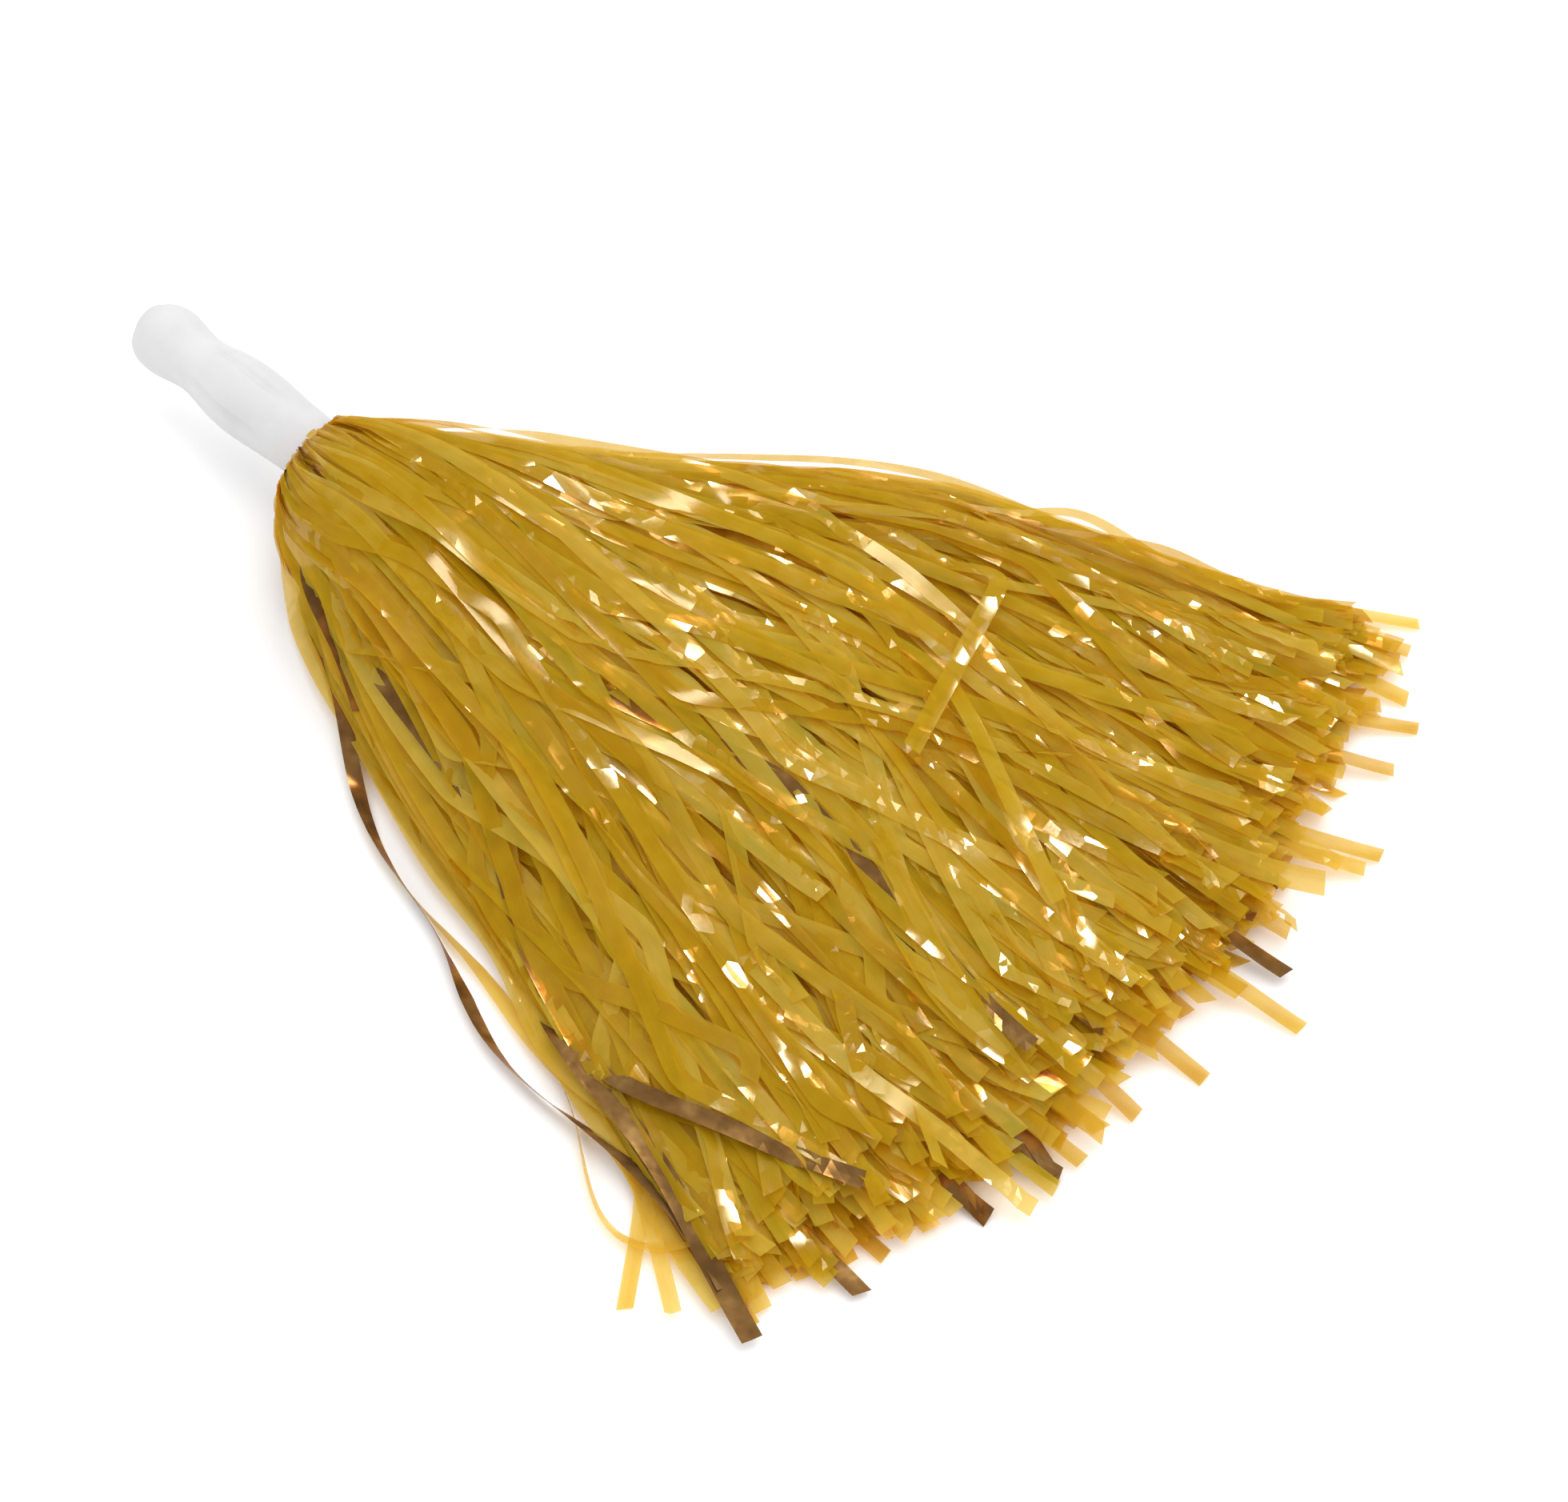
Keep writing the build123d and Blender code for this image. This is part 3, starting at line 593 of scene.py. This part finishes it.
def crinkles(strip):
    """Short slanted dents across the film in clusters, more of them towards the tip.

    Gives the height of the three rows of points, and which points are roughened."""
    rng, s = strip.rng, strip.s
    bump = np.zeros((3, len(s)))
    for _ in range(rng.poisson(strip.crinkle * 2.6)):
        cluster = (1 - rng.random() ** 1.35) * s[-1]
        if cluster < 22:
            continue
        for _ in range(rng.integers(2, 8)):
            at = cluster + rng.normal(0, 8.0)
            height = rng.normal(0, 0.62)
            reach = rng.uniform(2.0, 5.0)
            slant = rng.normal(0, 2.6)
            for k in range(3):
                dent = np.clip(1 - np.abs(s - at - slant * (k - 1)) / reach, 0, 1)
                bump[k] += height * rng.uniform(0.3, 1.2) * dent
    return bump, np.abs(bump).max(0) > 0.06


def shape(strip):
    """Three rows of points along a streamer: one edge, the middle, the other edge."""
    rng, path, s = strip.rng, strip.path, strip.s
    count = len(path)
    along, across, outward = directions(strip)
    gather = smooth(1 - (s - 8) / 46)                   # gathered into a pleat at the neck
    half = np.full(count, strip.width / 2) * (1 - 0.40 * gather)
    free = smooth((s - 35) / 110)
    roll = gather * strip.pleat
    roll = roll + wander(count, 26, rng, 0.17) * (0.4 + 0.6 * free)
    if strip.roll_keys:
        roll = np.interp(s, *strip.roll_keys) + (0.16 if strip.order > 1.5 else 0.0)
    elif strip.twist:
        start, turn = strip.twist
        roll = roll + turn * smooth((s - start) / 40)
    roll = roll + np.arcsin(np.clip(strip.tilt / np.maximum(half, 0.1), -0.8, 0.8))
    cos, sin = np.cos(roll)[:, None], np.sin(roll)[:, None]
    across, outward = across * cos + outward * sin, outward * cos - across * sin
    arch = wander(count, 18, rng, 0.05) + strip.arch + gather * 0.16
    bump, rough = crinkles(strip)
    strip.flat = rough[:-1] | rough[1:]
    bump += rng.normal(0, 0.025, (3, count)) * (0.25 + 0.75 * free)
    bump *= smooth((s - 12) / 16)
    rows = np.stack([path + across * (side * half)[:, None]
                     + outward * (arch * rise + bump[side + 1])[:, None]
                     for side, rise in ((-1, -0.25), (0, 1), (1, -0.25))], 1)
    # a square or slightly slanted cut
    slant = rng.normal(0, 0.6)
    rows[-1, 0] += along[-1] * slant
    rows[-1, 2] -= along[-1] * slant
    rows[:, :, 2] = np.maximum(rows[:, :, 2], FLOOR + 0.05)
    strip.rows = rows


def make_streamers():
    strips = []
    for kind, (count, _, _) in FAN_TUFTS.items():
        for column in range(COLUMNS):
            for _ in range(count):
                rng = new_rng()
                place = place_in_fan(kind, column, rng)
                strips.append(plan_streamer(f"{kind}_tuft_{column + 1}", place, rng))
    for side, sign in (("left", -1), ("right", 1)):
        for column in ("inner", "outer"):
            for _ in range(SIDE_COUNT):
                rng = new_rng()
                place = place_in_side(sign, column, rng)
                strips.append(plan_streamer(f"{side}_{column}_tuft", place, rng))
    strips += [plan_single(*single) for single in SINGLES]
    strips.sort(key=lambda strip: strip.order)
    for strip in strips:
        give_character(strip)
        lay(strip)
        shape(strip)
    return strips


# ------------------------------------------------------------------ materials
class Shader:
    """A new material's node tree, with short ways to add and join nodes."""

    def __init__(self, name):
        self.material = bpy.data.materials.new(name)
        self.material.use_nodes = True
        self.tree = self.material.node_tree
        self.tree.nodes.clear()

    def node(self, kind, inputs=None, **settings):
        """Adds a node; an input is given a socket to link, a number, a vector or a colour."""
        node = self.tree.nodes.new(kind)
        for key, value in settings.items():
            setattr(node, key, value)
        for key, value in (inputs or {}).items():
            socket = node.inputs[key]
            if isinstance(value, bpy.types.NodeSocket):
                self.tree.links.new(value, socket)
            else:
                socket.default_value = (*value, 1) if socket.type == "RGBA" else value
        return node

    def attribute(self, name, output):
        return self.node("ShaderNodeAttribute", attribute_name=name).outputs[output]

    def noise(self, vector, scale, detail, dimensions="3D", roughness=0.5):
        return self.node("ShaderNodeTexNoise", {
            "Scale": scale, "Detail": detail, "Roughness": roughness, "Vector": vector,
        }, noise_dimensions=dimensions).outputs[0]

    def ramp(self, source, *stops):
        node = self.node("ShaderNodeValToRGB", {0: source})
        elements = node.color_ramp.elements
        while len(elements) < len(stops):
            elements.new(0.5)
        for element, (position, colour) in zip(elements, stops):
            element.position = position
            element.color = (*colour, 1)
        return node.outputs[0]

    def scaled(self, value, by, plus, clamp=False):
        return self.node("ShaderNodeMath", {0: value, 1: by, 2: plus},
                         operation="MULTIPLY_ADD", use_clamp=clamp).outputs[0]

    def product(self, a, b):
        return self.node("ShaderNodeMath", {0: a, 1: b}, operation="MULTIPLY").outputs[0]

    def vector(self, operation, inputs):
        return self.node("ShaderNodeVectorMath", inputs, operation=operation).outputs[0]

    def mix(self, factor, a, b, blend="MIX"):
        return self.node("ShaderNodeMix", {0: factor, 6: a, 7: b},
                         data_type="RGBA", blend_type=blend).outputs[2]

    def mix_shaders(self, factor, a, b):
        return self.node("ShaderNodeMixShader", {0: factor, 1: a, 2: b}).outputs[0]

    def bump(self, height, strength, distance):
        return self.node("ShaderNodeBump", {
            "Strength": strength, "Distance": distance, "Height": height}).outputs[0]

    def finish(self, surface):
        self.node("ShaderNodeOutputMaterial", {0: surface})
        return self.material


def film_material(name, clear):
    """Translucent gold film: cloudy tone, draw lines along the strip, crinkled sheen.

    clear is the share of light that passes straight through."""
    shader = Shader(name)
    place = shader.attribute("strip_st", "Vector")
    tone = shader.attribute("strip_tone", "Fac")
    cloud = shader.noise(place, scale=0.14, detail=1.0, dimensions="2D")
    # draw lines: noise stretched along the strip
    stretched = shader.vector("MULTIPLY", {0: place, 1: (0.03, 1.7, 1.0)})
    lines = shader.noise(stretched, scale=1.0, detail=1.0, dimensions="2D")
    shade = shader.scaled(cloud, by=0.36, plus=-0.04)
    shade = shader.scaled(lines, by=0.18, plus=shade)
    shade = shader.scaled(tone, by=0.60, plus=shade, clamp=True)
    colour = shader.ramp(shade, (0.12, (0.59, 0.368, 0.010)), (0.48, (0.730, 0.532, 0.014)),
                         (0.90, (0.90, 0.735, 0.105)))
    # fine crinkles, and creases that only crumple some stretches
    grain = shader.noise(place, scale=0.9, detail=2.0, dimensions="2D", roughness=0.6)
    roughness = shader.scaled(grain, by=0.12, plus=0.07)
    crease = shader.node("ShaderNodeTexVoronoi", {"Scale": 0.17, "Vector": place},
                         voronoi_dimensions="2D", feature="F1")
    where = shader.noise(place, scale=0.028, detail=0.0, dimensions="2D")
    patch = shader.scaled(where, by=5.0, plus=-2.6, clamp=True)
    crumple = shader.product(crease.outputs["Distance"],
                             shader.scaled(patch, by=0.75, plus=0.04))
    height = shader.scaled(grain, by=0.05, plus=crumple)
    body = shader.node("ShaderNodeBsdfPrincipled", {
        "Base Color": shader.mix(1.0, colour, (0.97, 1.03, 1.0), "MULTIPLY"),
        "Roughness": roughness,
        "Normal": shader.bump(height, strength=0.7, distance=0.0007),
        "Specular IOR Level": 0.10})
    through = shader.node("ShaderNodeBsdfTranslucent", {
        "Color": shader.mix(1.0, colour, (1.0, 0.885, 1.0), "MULTIPLY")})
    cloudy = shader.mix_shaders(0.44, body.outputs[0], through.outputs[0])
    passing = shader.node("ShaderNodeBsdfTransparent", {0: (1.0, 0.70, 0.42)})
    film = shader.mix_shaders(clear, cloudy, passing.outputs[0])
    # the sheen shows in patches, where the film is crumpled into facets, more towards the tips
    spots = shader.scaled(where, by=6.0, plus=-2.75, clamp=True)
    along = shader.node("ShaderNodeSeparateXYZ", {0: place}).outputs[0]
    spots = shader.product(spots, shader.scaled(along, by=0.007, plus=0.20, clamp=True))
    gleam = shader.mix(spots, (0.20, 0.17, 0.11), (1.0, 0.90, 0.64))
    lean = shader.vector("SUBTRACT", {0: crease.outputs["Color"], 1: (0.5, 0.5, 0.5)})
    lean = shader.vector("SCALE", {0: lean, "Scale": shader.product(spots, 0.34)})
    normal = shader.node("ShaderNodeNewGeometry").outputs["Normal"]
    facet = shader.vector("ADD", {0: normal, 1: lean})
    gloss = shader.node("ShaderNodeBsdfGlossy", {
        "Color": gleam, "Roughness": roughness,
        "Normal": shader.vector("NORMALIZE", {0: facet})})
    return shader.finish(shader.mix_shaders(0.075, film, gloss.outputs[0]))


def foil_material(name):
    """Metallised bronze-gold foil with a rippled mirror surface."""
    shader = Shader(name)
    place = shader.attribute("strip_st", "Vector")
    mottle = shader.noise(place, scale=0.12, detail=3.0)
    colour = shader.ramp(mottle, (0.30, (0.23, 0.115, 0.035)), (0.52, (0.38, 0.195, 0.062)),
                         (0.75, (0.62, 0.36, 0.12)))
    ripple = shader.noise(place, scale=0.16, detail=2.0)
    body = shader.node("ShaderNodeBsdfPrincipled", {
        "Base Color": colour,
        "Metallic": 0.7,
        "Specular Tint": (0.42, 0.27, 0.13),
        "Roughness": shader.scaled(ripple, by=0.20, plus=0.10),
        "Normal": shader.bump(ripple, strength=0.25, distance=0.0005)})
    return shader.finish(body.outputs[0])


def plastic_material(name, light, dark, rough, scale, spec=0.45, bump_mm=0.05, blush=None):
    """Moulded plastic: faint mottling and a satin, slightly uneven surface."""
    shader = Shader(name)
    place = shader.node("ShaderNodeTexCoord").outputs["Object"]
    mottle = shader.noise(place, scale=scale, detail=4.0, roughness=0.55)
    colour = shader.ramp(mottle, (0.32, dark), (0.66, light))
    if blush:                                   # a touch pinker and a little darker towards the mouth end
        x = shader.node("ShaderNodeSeparateXYZ", {0: place}).outputs[0]
        near = shader.scaled(x, by=60.0, plus=0.45, clamp=True)
        colour = shader.mix(shader.product(near, 0.55), colour, blush)
    fine = shader.noise(place, scale=scale * 9, detail=3.0)
    roughness = shader.scaled(fine, by=0.22, plus=rough - 0.11)
    height = shader.scaled(mottle, by=1.0, plus=shader.product(fine, 0.35))
    body = shader.node("ShaderNodeBsdfPrincipled", {
        "Base Color": colour,
        "Roughness": roughness,
        "Normal": shader.bump(height, strength=0.5, distance=bump_mm * MM * 4),
        "Specular IOR Level": spec})
    return shader.finish(body.outputs[0])


# ------------------------------------------------------------------ meshes
def add_object(name, mesh):
    ob = bpy.data.objects.new(name, mesh)
    bpy.context.scene.collection.objects.link(ob)
    return ob


def add_film_attributes(mesh, places, tones):
    """What the film materials read: place on the strip in mm, and tone."""
    attribute = mesh.attributes.new("strip_st", "FLOAT_VECTOR", "POINT")
    attribute.data.foreach_set("vector", places.astype(np.float32).ravel())
    attribute = mesh.attributes.new("strip_tone", "FLOAT", "POINT")
    attribute.data.foreach_set("value", tones.astype(np.float32))


def tube_mesh(name, rings, order=(0, 1, 2, 3)):
    """Mesh through rings of points; order is that of each face's corners."""
    count, sides = rings.shape[:2]
    base = np.arange(count - 1)[:, None] * sides
    i = base + np.arange(sides)[None, :]
    j = base + (np.arange(sides)[None, :] + 1) % sides
    faces = np.stack([i, j, j + sides, i + sides], 2).reshape(-1, 4)[:, list(order)]
    mesh = bpy.data.meshes.new(name)
    mesh.from_pydata((rings.reshape(-1, 3) * MM).tolist(), [], faces.tolist())
    mesh.update()
    return mesh


def ribbon_object(name, group, film, foil):
    """All streamers of one tuft as one mesh of open ribbons."""
    verts, faces, slots, places, tones, flats = [], [], [], [], [], []
    base = 0
    for strip in group:
        count = len(strip.rows)
        verts.append(strip.rows.reshape(-1, 3))
        i = (np.arange(count - 1)[:, None] * 3 + np.array([0, 1])).ravel() + base
        faces.append(np.stack([i, i + 1, i + 4, i + 3], 1))
        slots.append(np.full(len(i), 1 if strip.foil else 0))
        flats.append(np.repeat(strip.flat, 2))
        shift = strip.rng.uniform(0, 900)       # so no two share a stretch of texture
        x = np.repeat(strip.s[:, None], 3, 1) + shift
        y = np.tile(np.array([-0.5, 0, 0.5]) * strip.width, (count, 1)) + shift * 0.37
        places.append(np.stack([x, y, np.full_like(x, shift * 0.11)], 2).reshape(-1, 3))
        tones.append(np.full(count * 3, strip.tone))
        base += count * 3
    verts = np.concatenate(verts) * MM
    faces = np.concatenate(faces)
    mesh = bpy.data.meshes.new(name)
    mesh.vertices.add(len(verts))
    mesh.vertices.foreach_set("co", verts.astype(np.float32).ravel())
    mesh.loops.add(faces.size)
    mesh.loops.foreach_set("vertex_index", faces.astype(np.int32).ravel())
    mesh.polygons.add(len(faces))
    mesh.polygons.foreach_set("loop_start", (np.arange(len(faces)) * 4).astype(np.int32))
    mesh.polygons.foreach_set("material_index", np.concatenate(slots).astype(np.int32))
    mesh.update(calc_edges=True)
    mesh.validate()
    add_film_attributes(mesh, np.concatenate(places), np.concatenate(tones))
    mesh.shade_smooth()
    # crinkled stretches are faceted
    sharp = (mesh.attributes.get("sharp_face")
             or mesh.attributes.new("sharp_face", "BOOLEAN", "FACE"))
    sharp.data.foreach_set("value", np.concatenate(flats))
    mesh.materials.append(film)
    mesh.materials.append(foil)
    return add_object(name, mesh)


def add_tufts(strips, film, foil):
    groups = {}
    for strip in strips:
        groups.setdefault(strip.tuft, []).append(strip)
    for tuft, group in sorted(groups.items()):
        ob = ribbon_object("streamers_" + tuft.replace("_tuft", ""), group, film, foil)
        hinge = HINGES[tuft]
        out = hinge[:2] - APEX
        out = np.array([*(out / np.linalg.norm(out)), 0.0])
        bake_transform(ob)
        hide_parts(tuft)


# rings of the collar round the fold: x from the fold, radius, depth of the pleats
COLLAR_FOLD = [(5.0, 9.4, 0.0), (2.2, 9.5, 0.15), (0.5, 9.65, 0.4), (-0.4, 9.8, 0.6),
               (-0.7, 10.0, 0.9), (-0.5, 10.3, 1.0), (0.2, 10.5, 1.0)]
# distances from the fold of the rings that follow the dome
COLLAR_DOME = (1.2, 2.6, 4.2, 6.5, 9.5, 13.0, 17.0)
PLEATS = 47


def add_collar(material):
    """Pleated film collar at the neck."""
    sides = 720
    theta = np.linspace(0, 2 * math.pi, sides, endpoint=False)
    # pleats of uneven width and size
    warp = (theta + 0.05 * np.sin(3 * theta + 1.0) + 0.03 * np.sin(7 * theta + 0.4)
            + 0.016 * np.sin(13 * theta))
    pleat = np.abs(((warp * PLEATS / (2 * math.pi)) % 1.0) - 0.5) * 2       # 0..1 triangle
    size = 0.6 + 0.4 * np.sin(5 * theta + 0.7) * np.sin(11 * theta + 2.0)
    lean = fold_x(theta)
    rings = []
    for x, radius, depth in COLLAR_FOLD:
        rings.append(around(lean + x - (pleat - 0.3) * 1.2 * size * depth,
                            radius + pleat * 0.45 * size * depth, theta))
    for s in COLLAR_DOME:
        depth = 1.0 - 0.6 * smooth(s / COLLAR_DOME[-1])
        radius = dome(s, theta) * (0.985 - 0.004 * s) + (pleat - 0.7) * 0.7 * size * depth
        rings.append(around(s + lean * (1 - smooth(s / 14)), radius, theta))
    mesh = tube_mesh("film_collar", np.stack(rings))
    count = len(rings)
    places = np.stack([np.repeat(np.arange(count) * 2.5, sides), np.tile(theta * 13, count),
                       np.zeros(count * sides)], 1)
    add_film_attributes(mesh, places, np.full(len(places), 0.55))
    mesh.shade_smooth()
    mesh.materials.append(material)
    ob = add_object("film_collar", mesh)
    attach(ob, "handle")
    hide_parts("film_fold")


# the grip's outline from the middle of the butt to the mouth: x, radius
GRIP_PROFILE = np.array([
    (-69.6, 0.0), (-69.6, 2.0), (-69.55, 4.4), (-69.3, 6.4), (-68.6, 8.2), (-67.3, 9.3),
    (-65.4, 9.95), (-62.8, 10.25), (-60, 10.25), (-57, 9.9), (-54, 9.4), (-51, 8.95),
    (-48.5, 8.7), (-46, 8.65), (-43, 8.9), (-40, 9.4), (-36, 10.15), (-32, 10.7), (-28, 10.95),
    (-24, 10.9), (-20, 10.7), (-15, 10.4), (-10, 10.05), (-5, 9.75), (0, 9.5), (4, 9.3),
    (8.6, 9.1)])
GRIP_LIP = ((8.6, 8.5), (2.0, 8.3))             # inside the mouth: x, radius
GRIP_CREASES = (-72, 8, 82, 152, -134)          # directions round the grip, degrees


def add_grip():
    """Sleeve with a flat butt and rounded rim, a waist, and a belly with five soft creases."""
    run = arc_length(GRIP_PROFILE)
    t = np.linspace(0, run[-1], 200)
    outline = sample(GRIP_PROFILE, run, t)
    # rounded everywhere but at the middle of the butt
    outline = np.where((t < 2.0)[:, None], outline, blur_columns(outline, 2.2))
    theta = np.linspace(0, 2 * math.pi, 240, endpoint=False)
    angle, x = np.meshgrid(theta, outline[:, 0])
    radius = np.repeat(outline[:, 1][:, None], len(theta), 1)
    belly = smooth((x + 50) / 12) * smooth((-x - 6) / 14)
    crease = np.zeros_like(radius)
    for k, degrees in enumerate(GRIP_CREASES):
        centre = math.radians(degrees) + 0.05 * np.sin(x / 9 + k)
        away = (angle - centre + math.pi) % (2 * math.pi) - math.pi
        crease += np.exp(-(away / 0.15) ** 2) * (0.78 + 0.22 * math.cos(0.9 * k))
    radius = radius - crease * belly + 0.10 * belly * np.cos(5 * (angle + 0.5))
    # a faintly squared, dented butt
    butt = smooth((-x - 56) / 8) * smooth((radius - 2) / 5)
    radius = radius + butt * (0.30 * np.cos(4 * angle + 0.6) + 0.18 * np.cos(3 * angle + 2.0)
                              + 0.06 * np.cos(9 * angle))
    # slight waves all along
    radius = radius + 0.05 * np.sin(x / 3.1 + 2 * angle) * smooth((x + 70) / 10)
    lip = np.stack([around(lip_x, lip_radius, theta) for lip_x, lip_radius in GRIP_LIP])
    rings = np.concatenate([around(x, radius, angle), lip])
    mesh = tube_mesh("moulded_grip", rings, order=(0, 3, 2, 1))
    # the first ring closes to one point
    bm = bmesh.new()
    bm.from_mesh(mesh)
    bmesh.ops.remove_doubles(bm, verts=bm.verts, dist=1e-6)
    bmesh.ops.recalc_face_normals(bm, faces=bm.faces)
    bm.to_mesh(mesh)
    bm.free()
    mesh.shade_smooth()
    ob = add_object("moulded_grip", mesh)
    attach(ob, "handle")
    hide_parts("grip_shell")
    return ob


def dress_plastics(grip):
    """Materials of the grip and of the CAD pieces that stay."""
    grip.data.materials.append(plastic_material(
        "white_polyethylene", light=(0.618, 0.618, 0.621), dark=(0.57, 0.57, 0.577),
        rough=0.5, spec=0.18, scale=60, blush=(0.60, 0.555, 0.57)))
    plug = plastic_material("plug_polyethylene", light=(0.80, 0.80, 0.80),
                            dark=(0.72, 0.72, 0.73), rough=0.5, scale=90)
    nylon = plastic_material("tie_nylon", light=(0.84, 0.83, 0.78), dark=(0.74, 0.73, 0.68),
                             rough=0.38, scale=140, bump_mm=0.03)
    tape = plastic_material("clear_tape", light=(0.80, 0.66, 0.36), dark=(0.70, 0.54, 0.24),
                            rough=0.16, spec=0.6, scale=160, bump_mm=0.03)
    wound = plastic_material("wound_film", light=(0.62, 0.40, 0.06), dark=(0.46, 0.27, 0.02),
                             rough=0.30, spec=0.5, scale=210, bump_mm=0.06)
    wound_foil = plastic_material("wound_foil", light=(0.60, 0.42, 0.18),
                                  dark=(0.40, 0.25, 0.09), rough=0.22, spec=0.9, scale=210)
    materials = {"stem_plug": plug, "cable_tie": nylon, "binding_tape": tape,
                 "foil_header": wound_foil}
    for name, ob in frame["nodes"].items():
        if ob.hide_render:
            continue
        for slot in ob.material_slots:
            slot.material = materials.get(name, wound)


# ------------------------------------------------------------------ floor, light, camera (m)
def add_floor():
    half, z = 6.0, FLOOR * MM
    mesh = bpy.data.meshes.new("floor")
    mesh.from_pydata([(-half, -half, z), (half, -half, z), (half, half, z), (-half, half, z)],
                     [], [(0, 1, 2, 3)])
    shader = Shader("studio_floor")
    matt = shader.node("ShaderNodeBsdfDiffuse", {0: (0.93, 0.93, 0.935)})
    mesh.materials.append(shader.finish(matt.outputs[0]))
    add_object("floor", mesh)


def add_world():
    """A dim room for reflections, even white light for everything else."""
    world = bpy.data.worlds.new("studio")
    bpy.context.scene.world = world
    world.use_nodes = True
    tree = world.node_tree
    path = tree.nodes.new("ShaderNodeLightPath")
    level = tree.nodes.new("ShaderNodeMapRange")
    level.inputs["To Min"].default_value = 1.24
    level.inputs["To Max"].default_value = 0.16
    background = tree.nodes["Background"]
    tree.links.new(path.outputs["Is Glossy Ray"], level.inputs["Value"])
    tree.links.new(level.outputs[0], background.inputs[1])
    background.inputs[0].default_value = (1, 1, 1, 1)


def add_light(name, at, size, power):
    """Square area light aimed at the fan."""
    data = bpy.data.lights.new(name, "AREA")
    data.shape = "RECTANGLE"
    data.size = data.size_y = size
    data.energy = power
    ob = add_object(name, data)
    ob.location = at
    aim = Vector((0.12, 0.0, 0.0)) - Vector(at)
    ob.rotation_euler = aim.to_track_quat("-Z", "Y").to_euler()
    return ob


def add_lights():
    key = add_light("key", at=(0.20, 0.62, 1.78), size=1.7, power=10.6)
    key.visible_glossy = False
    # these two only put the highlights on the film
    for glint in (add_light("glint", at=(-0.46, 1.02, 1.34), size=0.26, power=8.5),
                  add_light("glint_low", at=(0.55, 1.35, 1.05), size=0.24, power=5.0)):
        glint.visible_diffuse = False


def add_camera():
    data = bpy.data.cameras.new("camera")
    data.lens = 85.0
    data.sensor_width = 36.0
    data.clip_start = 0.01
    data.clip_end = 20
    ob = bpy.data.objects.new("camera", data)
    turn, rise, distance = math.radians(45.219), math.radians(48.0), 0.95695
    target = Vector((0.16525, 0.0196, -0.010))
    back = Vector((math.sin(turn) * math.cos(rise), -math.cos(turn) * math.cos(rise),
                   math.sin(rise)))
    ob.location = target + back * distance
    ob.rotation_euler = back.to_track_quat("Z", "Y").to_euler()
    bpy.context.scene.collection.objects.link(ob)
    bpy.context.scene.camera = ob


# ------------------------------------------------------------------ build
streamers = make_streamers()
gold_film = film_material("gold_film", clear=0.46)
bronze_foil = foil_material("bronze_foil")
header_film = film_material("header_film", clear=0.16)
add_tufts(streamers, gold_film, bronze_foil)
add_collar(header_film)
dress_plastics(add_grip())
add_floor()
add_world()
add_lights()
add_camera()
bpy.context.scene.view_settings.view_transform = "Standard"
